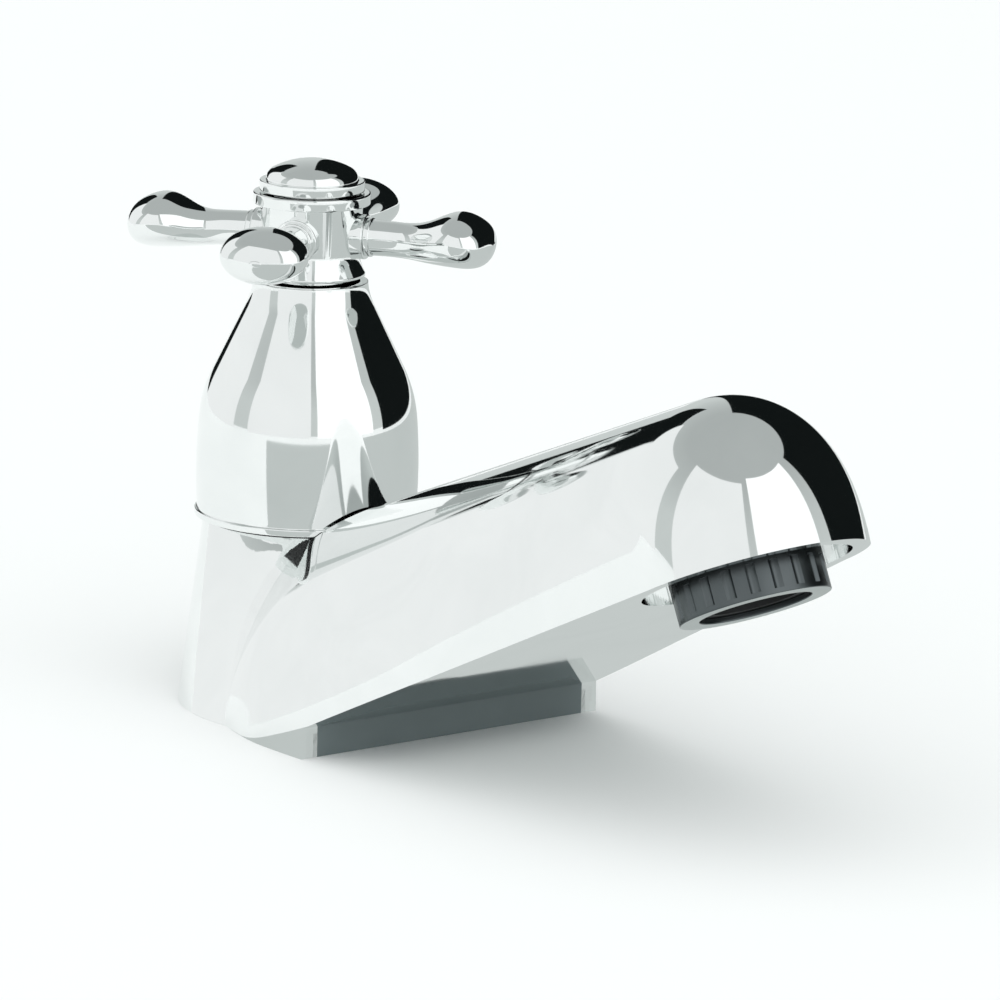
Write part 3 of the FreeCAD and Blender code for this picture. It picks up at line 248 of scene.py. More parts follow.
def makeGrain():
    # the fine skin of moulded plastic or rubber
    group, entry, leave = startGroup("mouldedGrain", [
        ("Vector", "NodeSocketVector", None), ("Scale", "NodeSocketFloat", 1500.0)],
        [("Height", "NodeSocketFloat"), ("Patch", "NodeSocketFloat")])
    place, scale = entry.outputs["Vector"], entry.outputs["Scale"]
    fine = addNode(group, "ShaderNodeTexNoise", Vector=place, Scale=scale, Detail=4.0, Roughness=0.7)
    slow = calculate(group, "MULTIPLY", scale, 0.06)
    patch = addNode(group, "ShaderNodeTexNoise", Vector=place, Scale=slow, Detail=2.0)
    group.links.new(fine.outputs["Fac"], leave.inputs["Height"])
    group.links.new(patch.outputs["Fac"], leave.inputs["Patch"])
    return group


handlingPatches = makeHandling()
toolRings = makeToolRings()
mouldedGrain = makeGrain()


def startMaterial(name):
    material = bpy.data.materials.new(name)
    material.use_nodes = True
    tree = material.node_tree
    shader = tree.nodes["Principled BSDF"]
    place = addNode(tree, "ShaderNodeTexCoord").outputs["Object"]
    return material, tree, shader, place


def useGroup(tree, group, **inputs):
    node = tree.nodes.new("ShaderNodeGroup")
    node.node_tree = group
    for name, source in inputs.items():
        if isinstance(source, bpy.types.NodeSocket):
            tree.links.new(source, node.inputs[name])
        else:
            node.inputs[name].default_value = source
    return node


def mixColours(tree, mask, first, second):
    mix = addNode(tree, "ShaderNodeMix", {"data_type": "RGBA"})
    tree.links.new(mask, mix.inputs[0])
    mix.inputs[6].default_value = (*first, 1)
    mix.inputs[7].default_value = (*second, 1)
    return mix.outputs[2]


def spreadValue(tree, mask, low, high):
    return addNode(tree, "ShaderNodeMapRange", Value=mask, To_Min=low, To_Max=high).outputs["Result"]


def linkSurface(tree, shader, colour, roughness, height, strength, depth):
    # what every finish ends in: its colour, its roughness and a fine relief
    tree.links.new(colour, shader.inputs["Base Color"])
    tree.links.new(roughness, shader.inputs["Roughness"])
    bump = addNode(tree, "ShaderNodeBump", Strength=strength, Distance=depth, Height=height)
    tree.links.new(bump.outputs["Normal"], shader.inputs["Normal"])


plating = {"patchScale": 45.0, "patchSpread": 0.35, "rippleScale": 130.0, "rippleStrength": 0.25,
           "rippleDepth": 0.000012}
polishedTone = {"clean": (0.90, 0.915, 0.91), "wiped": (0.82, 0.84, 0.835), "smooth": 0.025, "hazy": 0.07}
# the aerator ring, apart from its lower face, in a dark plating
ringDarkTone = {"clean": (0.13, 0.145, 0.15), "wiped": (0.10, 0.115, 0.12), "smooth": 0.24, "hazy": 0.36}
# the aerator ring's lower face: a lighter copy of the ring's plating, a painted highlight
lipHighlightTone = {"clean": (0.62, 0.65, 0.645), "wiped": (0.56, 0.59, 0.585), "smooth": 0.3, "hazy": 0.42}


def makePlating(name, tone):
    # bright plating: a little haze where hands wipe it, and the faint swell of a polished casting
    material, tree, shader, place = startMaterial(name)
    patches = useGroup(tree, handlingPatches, Vector=place, Scale=plating["patchScale"],
                       Spread=plating["patchSpread"]).outputs["Mask"]
    swell = addNode(tree, "ShaderNodeTexNoise", Vector=place, Scale=plating["rippleScale"], Detail=1.0)
    linkSurface(tree, shader, mixColours(tree, patches, tone["clean"], tone["wiped"]),
                spreadValue(tree, patches, tone["smooth"], tone["hazy"]), swell.outputs["Fac"],
                plating["rippleStrength"], plating["rippleDepth"])
    shader.inputs["Metallic"].default_value = 1.0
    return material


turnedMetal = {"patchScale": 180.0, "patchSpread": 0.3, "ringStrength": 0.5}
turnedBrass = {"light": (0.74, 0.56, 0.28), "dark": (0.56, 0.40, 0.18), "smooth": 0.2, "rough": 0.38,
               "rings": 1100.0, "depth": 0.00002}
turnedSteel = {"light": (0.62, 0.63, 0.64), "dark": (0.46, 0.47, 0.48), "smooth": 0.22, "rough": 0.4,
               "rings": 1400.0, "depth": 0.00001}


def makeTurnedMetal(name, finish):
    # metal fresh from the lathe, with its fine rings and a few wiped patches
    material, tree, shader, place = startMaterial(name)
    patches = useGroup(tree, handlingPatches, Vector=place, Scale=turnedMetal["patchScale"],
                       Spread=turnedMetal["patchSpread"]).outputs["Mask"]
    rings = useGroup(tree, toolRings, Vector=place, Rings=finish["rings"]).outputs["Height"]
    linkSurface(tree, shader, mixColours(tree, patches, finish["light"], finish["dark"]),
                spreadValue(tree, rings, finish["smooth"], finish["rough"]), rings,
                turnedMetal["ringStrength"], finish["depth"])
    shader.inputs["Metallic"].default_value = 1.0
    return material


grainStrength = 0.4
baseSkin = {"light": (0.15, 0.185, 0.19), "dark": (0.12, 0.15, 0.155), "smooth": 0.28, "rough": 0.42,
            "grain": 2200.0, "depth": 0.00002}
paleSkin = {"light": (0.80, 0.80, 0.77), "dark": (0.72, 0.72, 0.69), "smooth": 0.35, "rough": 0.5,
            "grain": 2600.0, "depth": 0.00001}
jetSkin = {"light": (0.02, 0.022, 0.023), "dark": (0.012, 0.013, 0.014), "smooth": 0.4, "rough": 0.55,
           "grain": 2600.0, "depth": 0.00001}
rubberSkin = {"light": (0.035, 0.035, 0.036), "dark": (0.02, 0.02, 0.021), "smooth": 0.65, "rough": 0.85,
              "grain": 3000.0, "depth": 0.00003}


def makeMoulded(name, skin):
    # plastic or rubber as it leaves the mould
    material, tree, shader, place = startMaterial(name)
    grain = useGroup(tree, mouldedGrain, Vector=place, Scale=skin["grain"]).outputs
    linkSurface(tree, shader, mixColours(tree, grain["Patch"], skin["light"], skin["dark"]),
                spreadValue(tree, grain["Height"], skin["smooth"], skin["rough"]), grain["Height"],
                grainStrength, skin["depth"])
    return material


chrome = makePlating("polishedChrome", polishedTone)
ringDarkPlating = makePlating("darkAeratorRing", ringDarkTone)
# a lighter plating that paints a highlight on the aerator ring's lower face
lipHighlightPlating = makePlating("lipHighlightPlating", lipHighlightTone)
brass = makeTurnedMetal("turnedBrass", turnedBrass)
steel = makeTurnedMetal("turnedSteel", turnedSteel)
basePlastic = makeMoulded("basePlastic", baseSkin)
palePlastic = makeMoulded("palePlastic", paleSkin)
jetPlastic = makeMoulded("jetPlastic", jetSkin)
rubber = makeMoulded("rubber", rubberSkin)
print("materials made")

# the shell: an oblique conical column, a vaulted spout and a half-round nose
shell = {
    "columnHeight": 33.4, "columnTopRadius": 20.0, "footRadius": 32.5, "footForward": 14.0,
    "frontFaceForward": 47.5, "frontFaceHeight": 5.9, "undersideAngle": 26.1, "crownAngle": 21.5,
    "outletForward": 133.4, "noseRadius": 22.8, "noseHeight": 32.6, "frontHalfWidth": 35.3,
    "rootHalfWidth": 33.5, "rootForward": 16.7, "rootFullness": 1.15, "noseFullness": 2.5,
    "spoutStartForward": 9.3, "wall": 2.4, "seam": 0.15, "insertThickness": 4.6, "pocketRadius": 22.1,
    "lipRun": 8.1, "lipHalfWidthLow": 31.4, "lipHalfWidthHigh": 22.3, "lipTop": 15.3,
    "coreRoomRadius": 15.6, "coreRoomTop": 30.4, "cutBelow": 1, "cornerDegrees": 25,
    "sections": 5, "sideStepDegrees": 15, "alongSteps": 64, "sideSteps": 56, "roundSteps": 360}
outlet = {"ringDrop": 6.2, "recessRadius": 19.5, "recessDepth": 3.6, "nippleRadius": 12.0, "nippleRise": 22.2,
          "cutBelow": 5}
sameSurface = 0.00002  # metres: a place this near two curves takes the one that faces its way
smallFace = 1e-6  # square metres

crownSlope = math.radians(shell["crownAngle"])
undersideSlope = math.radians(shell["undersideAngle"])
outletRise = (shell["frontFaceHeight"] + math.tan(undersideSlope)
              * (shell["outletForward"] - shell["frontFaceForward"]))


def alongCrown(forward, rise):
    # how far back from the outlet a place in the middle plane lies, measured along the crown
    return ((shell["outletForward"] - forward) * math.cos(crownSlope)
            + (outletRise - rise) * math.sin(crownSlope))


def plainHalfWidth(along):
    frontAlong = alongCrown(shell["frontFaceForward"], shell["frontFaceHeight"])
    if along <= frontAlong:
        return shell["noseRadius"] + (shell["frontHalfWidth"] - shell["noseRadius"]) * along / frontAlong
    share = (along - frontAlong) / (alongCrown(0, 0) - frontAlong)
    return shell["frontHalfWidth"] + share * (shell["rootHalfWidth"] - shell["frontHalfWidth"])


def vaultSide(along, halfWidth, inset):
    # one side of the vault, from its foot straight up to its level crown
    foot = -math.tan(undersideSlope - crownSlope) * along
    height = shell["noseHeight"] - inset - foot
    fullness = (shell["noseFullness"] + (shell["rootFullness"] - shell["noseFullness"])
                * along / alongCrown(shell["rootForward"], 0))
    points = []
    for degrees in range(0, 91, shell["sideStepDegrees"]):
        angle = math.radians(degrees)
        points.append(((halfWidth - inset) * math.cos(angle),
                       foot + height * math.sin(angle) ** (2 / fullness)))
    knots = [0.0]
    for here, there in zip(points, points[1:]):
        knots.append(knots[-1] + math.dist(here, there))
    steps = [knots[-1] * index / shell["sideSteps"] for index in range(shell["sideSteps"] + 1)]
    return splineThrough(knots, points, steps, startSlope=(0, 1), endSlope=(-1, 0))


def spoutForm(name, inset):
    lastAlong = alongCrown(shell["spoutStartForward"], 0)
    stations = [lastAlong * index / (shell["sections"] - 1) for index in range(shell["sections"])]
    alongs = [lastAlong * index / shell["alongSteps"] for index in range(shell["alongSteps"] + 1)]
    widths = splineThrough(stations, [plainHalfWidth(along) for along in stations], alongs)[:, 0]
    skirt = 2 * shell["frontFaceHeight"]
    points = []
    for along, width in zip(alongs, widths):
        side = vaultSide(along, width, inset)
        ring = [(across, along, height) for across, height in side]
        ring += [(-across, along, height) for across, height in reversed(side[:-1])]
        low = side[0][1] - skirt
        points += [(side[0][0], along, low)] + ring + [(-side[0][0], along, low)]
    size = 2 * shell["sideSteps"] + 3
    faces = []
    for row in range(shell["alongSteps"]):
        for index in range(size):
            following = (index + 1) % size
            faces.append((row * size + index, row * size + following,
                          (row + 1) * size + following, (row + 1) * size + index))
    faces.append(tuple(shell["alongSteps"] * size + index for index in range(size)))
    # the nose turns the outlet's own section through half a turn
    side = vaultSide(0, widths[0], inset)
    side = numpy.vstack([[side[0][0], side[0][1] - skirt], side])
    turns = shell["sideSteps"] * 2
    start = len(points)
    for turn in range(turns + 1):
        angle = math.pi * turn / turns
        points += [(across * math.cos(angle), -across * math.sin(angle), height) for across, height in side]
    points.append((0, 0, side[0][1]))
    size = len(side)
    for turn in range(turns):
        for index in range(size - 1):
            faces.append((start + turn * size + index, start + (turn + 1) * size + index,
                          start + (turn + 1) * size + index + 1, start + turn * size + index + 1))
        faces.append((len(points) - 1, start + turn * size, start + (turn + 1) * size))
    placed = [(x, -shell["outletForward"] + y * math.cos(crownSlope) + z * math.sin(crownSlope),
               outletRise - y * math.sin(crownSlope) + z * math.cos(crownSlope)) for x, y, z in points]
    return showObject(name, buildMesh(name, placed, faces))


def columnForm(name, inset):
    # runs on below the deck and above the column's top, where the shell is cut level
    spare = 0.25
    points = []
    for share in (-spare, 1 + spare):
        radius = shell["footRadius"] + (shell["columnTopRadius"] - shell["footRadius"]) * share - inset
        for step in range(shell["roundSteps"]):
            angle = 2 * math.pi * step / shell["roundSteps"]
            points.append((radius * math.cos(angle),
                           radius * math.sin(angle) - shell["footForward"] * (1 - share),
                           shell["columnHeight"] * share))
    count = shell["roundSteps"]
    faces = [(step, (step + 1) % count, count + (step + 1) % count, count + step) for step in range(count)]
    faces += [tuple(range(count)), tuple(range(2 * count - 1, count - 1, -1))]
    return showObject(name, buildMesh(name, points, faces))


def blockForm(name, low, high):
    # a solid between a lower and an upper outline with as many corners
    count = len(low)
    faces = [(step, (step + 1) % count, count + (step + 1) % count, count + step) for step in range(count)]
    faces += [tuple(range(count)), tuple(range(count, 2 * count))]
    return showObject(name, buildMesh(name, low + high, faces))


def prism(name, corners, low, high):
    return blockForm(name, [(*corner, low) for corner in corners], [(*corner, high) for corner in corners])


def roundBar(name, radius, low, high, leaning=False, steps=180):
    mesh = turnedMesh(name, [(0, low), (radius, low), (radius, high), (0, high)], closed=False, steps=steps)
    return showObject(name, onOutlet(mesh) if leaning else mesh)


def setKind(shown, kind):
    # marks where a face comes from, so that it keeps its own curve's normals
    while len(shown.data.materials) < 3:
        shown.data.materials.append(None)
    for polygon in shown.data.polygons:
        polygon.material_index = kind
    return shown


def joinForm(first, operation, second):
    change = first.modifiers.new(operation, "BOOLEAN")
    change.operation = operation
    change.solver = "EXACT"
    change.object = second
    makePlain(first)
    mesh = second.data
    bpy.data.objects.remove(second)
    bpy.data.meshes.remove(mesh)
    return first


def curveNormals(mesh):
    # each face's corners with the normals of its own curve, past no corner of the form
    keepCorners(mesh)
    form = bmesh.new()
    form.from_mesh(mesh)
    tree = BVHTree.FromBMesh(form)
    form.free()
    normals = [corner.vector.copy() for corner in mesh.corner_normals]
    faces = [([mesh.vertices[vertex].co.copy() for vertex in polygon.vertices],
              [normals[loop] for loop in polygon.loop_indices]) for polygon in mesh.polygons]
    return tree, faces


def normalAt(source, spot, facing):
    tree, faces = source
    # the nearest face that looks the same way, so that a cap next to a wall isn't taken for it
    best = None
    nearby = tree.find_nearest_range(spot, sameSurface) or [tree.find_nearest(spot)]
    for place, direction, index, distance in nearby:
        if best is None or direction.dot(facing) > best[0]:
            best = (direction.dot(facing), place, index)
    spots, normals = faces[best[2]]
    total = Vector()
    for weight, normal in zip(poly_3d_calc(spots, best[1]), normals):
        total += normal * weight
    return total.normalized()


def makeShell():
    wide = 2 * shell["outletForward"]
    column = setKind(columnForm("columnForm", 0), 1)
    spout = setKind(spoutForm("spoutForm", 0), 2)
    sources = {1: curveNormals(column.data), 2: curveNormals(spout.data)}
    joinForm(column, "UNION", spout)

    # all that lies under the spout, ahead of the front face or below the deck
    front = shell["frontFaceForward"]
    height = shell["frontFaceHeight"]
    profile = [(-front, -wide), (-front, height),
               (-front - wide * math.cos(undersideSlope), height + wide * math.sin(undersideSlope)),
               (-front - 2 * wide, -wide)]
    under = blockForm("underside", [(-wide, *corner) for corner in profile],
                      [(wide, *corner) for corner in profile])
    joinForm(column, "DIFFERENCE", under)
    deck = prism("deck", [(-wide, -wide), (wide, -wide), (wide, wide), (-wide, wide)], -wide, 0)
    joinForm(column, "DIFFERENCE", deck)
    bell = roundBar("pocket", shell["pocketRadius"], shell["columnHeight"], shell["outletForward"], steps=360)
    joinForm(column, "DIFFERENCE", bell)
    recess = roundBar("recess", outlet["recessRadius"], -outlet["cutBelow"],
                      outlet["ringDrop"] + outlet["recessDepth"], leaning=True)
    joinForm(column, "DIFFERENCE", recess)
    nipple = roundBar("nipple", outlet["nippleRadius"], 0, outlet["ringDrop"] + outlet["nippleRise"],
                      leaning=True)
    joinForm(column, "DIFFERENCE", nipple)
    low = shell["lipHalfWidthLow"] + shell["seam"]
    high = shell["lipHalfWidthHigh"] + shell["seam"]
    mouth = prism("lipOpening", [(-low, -front + shell["seam"]), (-high, -front - shell["lipRun"]),
                                 (high, -front - shell["lipRun"]), (low, -front + shell["seam"])],
                  -height, shell["lipTop"])
    joinForm(column, "DIFFERENCE", mouth)

    # the hollow that the base closes, and the room for the water core
    inside = joinForm(columnForm("insideColumn", shell["wall"]), "UNION",
                      spoutForm("insideSpout", shell["wall"]))
    slab = prism("insideSlab", [(-wide, -front), (wide, -front), (wide, wide), (-wide, wide)],
                 -shell["cutBelow"], shell["insertThickness"] + shell["seam"])
    joinForm(inside, "INTERSECT", slab)
    joinForm(column, "DIFFERENCE", setKind(inside, 0))
    joinForm(column, "DIFFERENCE", roundBar("coreRoom", shell["coreRoomRadius"], -shell["cutBelow"],
                                            shell["coreRoomTop"]))

    mesh = column.data
    kinds = [polygon.material_index for polygon in mesh.polygons]
    mesh.shade_smooth()
    keepCorners(mesh, shell["cornerDegrees"])
    normals = [(0.0, 0.0, 0.0)] * len(mesh.loops)
    for polygon, kind in zip(mesh.polygons, kinds):
        for loop in polygon.loop_indices:
            if kind in sources:
                spot = mesh.vertices[mesh.loops[loop].vertex_index].co
                normals[loop] = normalAt(sources[kind], spot, polygon.normal)
            elif polygon.area > smallFace:
                normals[loop] = polygon.normal
    mesh.normals_split_custom_set(normals)
    mesh.materials.clear()
    mesh.materials.append(chrome)
    for polygon in mesh.polygons:
        polygon.material_index = 0
    column.name = "tapShell"
    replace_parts(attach(column, "body"), "tap_body")
    print("shell made with", len(mesh.polygons), "faces")


makeShell()

# the bell over the headwork, from its rim up
bell = {"start": 34.0, "rimRadius": 21.7, "rimHeight": 1.3, "rimStep": 0.45, "barrelHeight": 19.0,
        "barrelRadius": 21.1, "barrelArc": 122.0, "shoulderHeight": 29.0, "slopeDegrees": 26.2,
        "neckDegrees": 3.0, "neckRadius": 11.1, "height": 46.0, "wall": 1.5, "edge": 0.25}


def makeBell():
    # each stretch of the outline runs on from the one below without a corner
    start = bell["start"]
    rim = (bell["rimRadius"], start + bell["rimHeight"])
    step = (bell["rimRadius"] - bell["rimStep"], rim[1])
    barrel = (bell["barrelRadius"], start + bell["barrelHeight"])
    barrelLean = (math.atan2(step[0] - barrel[0], barrel[1] - step[1])
                  + math.asin(math.dist(step, barrel) / 2 / bell["barrelArc"]))
    slopeLean = math.radians(bell["slopeDegrees"])
    neckLean = math.radians(bell["neckDegrees"])

    shoulderRise = bell["shoulderHeight"] - bell["barrelHeight"]
    shoulderChord = (barrelLean + slopeLean) / 2
    shoulder = (barrel[0] - shoulderRise * math.tan(shoulderChord), start + bell["shoulderHeight"])
    shoulderArc = shoulderRise / math.cos(shoulderChord) / 2 / math.sin((slopeLean - barrelLean) / 2)

    neckChord = (slopeLean + neckLean) / 2
    climb = bell["height"] - bell["shoulderHeight"]
    neckRise = ((climb * math.tan(slopeLean) - shoulder[0] + bell["neckRadius"])
                / (math.tan(slopeLean) - math.tan(neckChord)))
    top = (bell["neckRadius"], start + bell["height"])
    slope = (bell["neckRadius"] + neckRise * math.tan(neckChord), top[1] - neckRise)
    neckArc = neckRise / math.cos(neckChord) / 2 / math.sin((slopeLean - neckLean) / 2)

    outside = [(bell["rimRadius"], start), rim, step]
    outside += arcPoints(step, barrel, bell["barrelArc"]) + [barrel]
    outside += arcPoints(barrel, shoulder, shoulderArc) + [shoulder, slope]
    outside += arcPoints(slope, top, -neckArc) + [top]
    inside = [(radius - bell["wall"], height) for radius, height in reversed(outside[2:])]
    outline = easeCorners(outside + inside + [(step[0] - bell["wall"], start)], bell["edge"])
    shown = showObject("bell", keepCorners(turnedMesh("bell", outline, steps=360)))
    shown.data.materials.append(chrome)
    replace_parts(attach(shown, "body"), "bell_cover")


makeBell()
print("bell made")

# the cross handle, from the hub's foot up
handle = {"start": 81.0, "hubHeight": 16.2, "footRadius": 10.5, "footEdge": 0.6, "waistRadius": 9.3,
          "waistRise": 5.0, "highRadius": 9.9, "collarRadius": 11.3, "collarHeight": 2.2, "spigotRadius": 8.4,
          "spigotLength": 2.6, "recessRadius": 7.6, "recessDepth": 5.7, "edge": 0.3, "firstDegrees": 307.0,
          "arms": 4, "armRise": 4.6, "bossStart": 8.45, "bossRadius": 4.3, "bossReach": 11.2,
          "armCollarRadius": 3.75, "armCollarThickness": 1.2, "tipRound": 0.3,
          "armReaches": (12.4, 16.4, 20.1, 24.0, 28.6, 32.6, 35.2, 36.35),
          "armRadii": (3.45, 3.4, 3.5, 4.15, 5.25, 4.9, 3.3, 0.6),
          "armSpreads": (0, 0, 0.4, 1.9, 3.0, 3.2, 2.4, 0.6),
          "armLifts": (0, 0, -0.25, -0.667, -1.0, -1.0, 0.3, 3.0)}
cap = {"ringRadius": 10.1, "ringHeight": 2.0, "gap": 0.3, "domeRadius": 8.9, "domeHeight": 4.1,
       "shoulderRadius": 7.4, "shoulderRise": 2.3, "spigotRadius": 7.55, "spigotLength": 3.6, "edge": 0.2}


def startTree(name, inputs, output):
    # a piece and its finish come in, with the named sizes between them, and one geometry goes out
    tree = bpy.data.node_groups.new(name, "GeometryNodeTree")
    for label, kind in [("Piece", "Geometry"), *inputs, ("Finish", "Material")]:
        tree.interface.new_socket(name=label, in_out="INPUT", socket_type="NodeSocket" + kind)
    tree.interface.new_socket(name=output, in_out="OUTPUT", socket_type="NodeSocketGeometry")
    return tree, tree.nodes.new("NodeGroupInput"), tree.nodes.new("NodeGroupOutput")


def endTree(tree, entry, leave, shaped):
    real = addNode(tree, "GeometryNodeRealizeInstances", Geometry=shaped)
    finished = addNode(tree, "GeometryNodeSetMaterial", Geometry=real.outputs[0],
                       Material=entry.outputs["Finish"])
    tree.links.new(finished.outputs[0], leave.inputs[0])
    return tree


def makeSpread():
    # repeats a piece round the upright axis
    tree, entry, leave = startTree("spreadRound", [("Count", "Int"), ("First Angle", "Float")], "Pieces")
    spots = addNode(tree, "GeometryNodeMeshLine", Count=entry.outputs["Count"], Offset=(0, 0, 0))
    index = addNode(tree, "GeometryNodeInputIndex")
    share = calculate(tree, "DIVIDE", index.outputs[0], entry.outputs["Count"])
    turn = calculate(tree, "MULTIPLY_ADD", share, 2 * math.pi, entry.outputs["First Angle"])
    angles = addNode(tree, "ShaderNodeCombineXYZ", Z=turn)
    copies = addNode(tree, "GeometryNodeInstanceOnPoints", Points=spots.outputs[0],
                     Instance=entry.outputs["Piece"], Rotation=angles.outputs[0])
    return endTree(tree, entry, leave, copies.outputs[0])


spreadRound = makeSpread()


def runTree(shown, tree, **settings):
    change = shown.modifiers.new(tree.name, "NODES")
    change.node_group = tree
    for item in tree.interface.items_tree:
        name = item.name.replace(" ", "")
        if item.in_out == "INPUT" and name in settings:
            change[item.identifier] = settings[name]
    return makePlain(shown)


def levelBar(outline, steps=96):
    # a form turned about the X axis from its outline of reach and radius, at the arms' height
    mesh = turnedMesh("levelBar", [(radius, reach) for reach, radius in outline], closed=False, steps=steps)
    axis = (handle["start"] + handle["armRise"] + handle["armRadii"][0]) * millimetre
    for vertex in mesh.vertices:
        x, y, z = vertex.co
        vertex.co = (z, y, axis - x)
    return mesh


def bulbMesh():
    # level ovals: a slim neck, then a bulb that hangs a little lower and lifts at the tip
    stations = list(range(len(handle["armReaches"])))
    table = list(zip(handle["armReaches"], handle["armRadii"], handle["armSpreads"], handle["armLifts"]))
    perStation = 14
    steps = [index / perStation for index in range((len(stations) - 1) * perStation + 1)]
    rows = [tuple(row) for row in splineThrough(stations, table, steps)]
    foot = handle["start"] + handle["armRise"]
    around = 96
    points = []
    for reach, radius, spread, lift in rows:
        for step in range(around):
            angle = 2 * math.pi * step / around
            points.append((reach, (radius + spread) * math.cos(angle),
                           foot + lift + radius + radius * math.sin(angle)))
    faces = []
    for row in range(len(rows) - 1):
        for step in range(around):
            following = (step + 1) % around
            faces.append((row * around + step, row * around + following,
                          (row + 1) * around + following, (row + 1) * around + step))
    faces.append(tuple(range(around)))
    # the tip closes in a small dome
    reach, radius, spread, lift = rows[-1]
    last = (len(rows) - 1) * around
    domeRings = 5
    for ring in range(1, domeRings):
        angle = math.pi / 2 * ring / domeRings
        small = math.cos(angle)
        forward = reach + radius * handle["tipRound"] * math.sin(angle)
        for step in range(around):
            turn = 2 * math.pi * step / around
            points.append((forward, (radius + spread) * small * math.cos(turn),
                           foot + lift + radius + radius * small * math.sin(turn)))
        row = len(points) - around
        for step in range(around):
            following = (step + 1) % around
            faces.append((last + step, last + following, row + following, row + step))
        last = row
    points.append((reach + radius * handle["tipRound"], 0, foot + lift + radius))
    faces += [(last + step, last + (step + 1) % around, len(points) - 1) for step in range(around)]
    return buildMesh("bulb", points, faces)


def joinMeshes(name, *meshes):
    form = bmesh.new()
    for mesh in meshes:
        form.from_mesh(mesh)
    whole = bpy.data.meshes.new(name)
    form.to_mesh(whole)
    form.free()
    for mesh in meshes:
        bpy.data.meshes.remove(mesh)
    whole.shade_smooth()
    return keepCorners(whole)


def makeHandle():
    start = handle["start"]
    top = start + handle["hubHeight"]
    spigot = start - handle["spigotLength"]
    foot = (handle["footRadius"], start + handle["footEdge"])
    waist = (handle["waistRadius"], start + handle["waistRise"])
    flareArc = ((foot[0] - waist[0]) ** 2 + (waist[1] - foot[1]) ** 2) / (2 * (foot[0] - waist[0]))
    outline = [(0, spigot), (handle["spigotRadius"], spigot), (handle["spigotRadius"], start),
               (handle["footRadius"], start), foot] + arcPoints(foot, waist, -flareArc) + [waist]
    outline += [(handle["highRadius"], top - handle["collarHeight"]),
                (handle["collarRadius"], top - handle["collarHeight"]), (handle["collarRadius"], top),
                (handle["recessRadius"], top), (handle["recessRadius"], top - handle["recessDepth"]),
                (0, top - handle["recessDepth"])]
    outline = easeCorners(outline, handle["edge"], closed=False)
    boss = easeCorners([(handle["bossStart"], 0), (handle["bossStart"], handle["bossRadius"]),
                        (handle["bossReach"], handle["bossRadius"]), (handle["bossReach"], 0)],
                       handle["edge"], closed=False)
    bosses = runTree(showObject("bosses", levelBar(boss)), spreadRound, Count=handle["arms"],
                     FirstAngle=math.radians(handle["firstDegrees"]), Finish=chrome)
    bossMesh = bosses.data
    bpy.data.objects.remove(bosses)
    hub = showObject("hub", joinMeshes("hub", turnedMesh("hubForm", outline, closed=False), bossMesh))
    hub.data.materials.clear()
    hub.data.materials.append(chrome)
    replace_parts(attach(hub, "handle"), "handle_hub")

    reach = handle["bossReach"]
    collarEnd = reach + handle["armCollarThickness"]
    collar = easeCorners([(reach, 0), (reach, handle["armCollarRadius"]),
                          (collarEnd, handle["armCollarRadius"]), (collarEnd, 0)],
                         handle["edge"], closed=False)
    arm = joinMeshes("arm", bulbMesh(), levelBar(collar))
    arms = runTree(showObject("arms", arm), spreadRound, Count=handle["arms"],
                   FirstAngle=math.radians(handle["firstDegrees"]), Finish=chrome)
    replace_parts(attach(arms, "handle"), "handle_arm_right", "handle_arm_back", "handle_arm_left",
                "handle_arm_front")


def makeCap():
    low = handle["start"] + handle["hubHeight"] + cap["gap"]
    ringTop = low + cap["ringHeight"]
    rim = (cap["domeRadius"], ringTop)
    shoulder = (cap["shoulderRadius"], ringTop + cap["shoulderRise"])
    crown = (0, ringTop + cap["domeHeight"])
    run = cap["domeRadius"] - cap["shoulderRadius"]
    rest = cap["domeHeight"] - cap["shoulderRise"]
    sideArc = (run ** 2 + cap["shoulderRise"] ** 2) / (2 * run)
    topArc = (cap["shoulderRadius"] ** 2 + rest ** 2) / (2 * rest)
    outline = [(0, low - cap["spigotLength"]), (cap["spigotRadius"], low - cap["spigotLength"]),
               (cap["spigotRadius"], low), (cap["ringRadius"], low), (cap["ringRadius"], ringTop), rim]
    outline += arcPoints(rim, shoulder, sideArc) + [shoulder] + arcPoints(shoulder, crown, topArc) + [crown]
    outline = easeCorners(outline, cap["edge"], closed=False)
    shown = showObject("domeCap", keepCorners(turnedMesh("domeCap", outline, closed=False)))
    shown.data.materials.append(chrome)
    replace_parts(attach(shown, "handle"), "dome_cap")


makeHandle()
makeCap()
print("handle made")

# the aerator's ring, up its own axis from the lower face
aeratorRing = {"radius": 14.05, "height": 9.2, "opening": 10.4, "lip": 1.2, "bore": 12.0, "flutes": 20,
               "fluteRadius": 1.0, "fluteDepth": 0.55, "fluteLow": 1.0, "fluteHigh": 6.3, "edge": 0.25,
               "bandStep": 0.02, "stepsPerFlute": 28, "lipFace": 0.05}


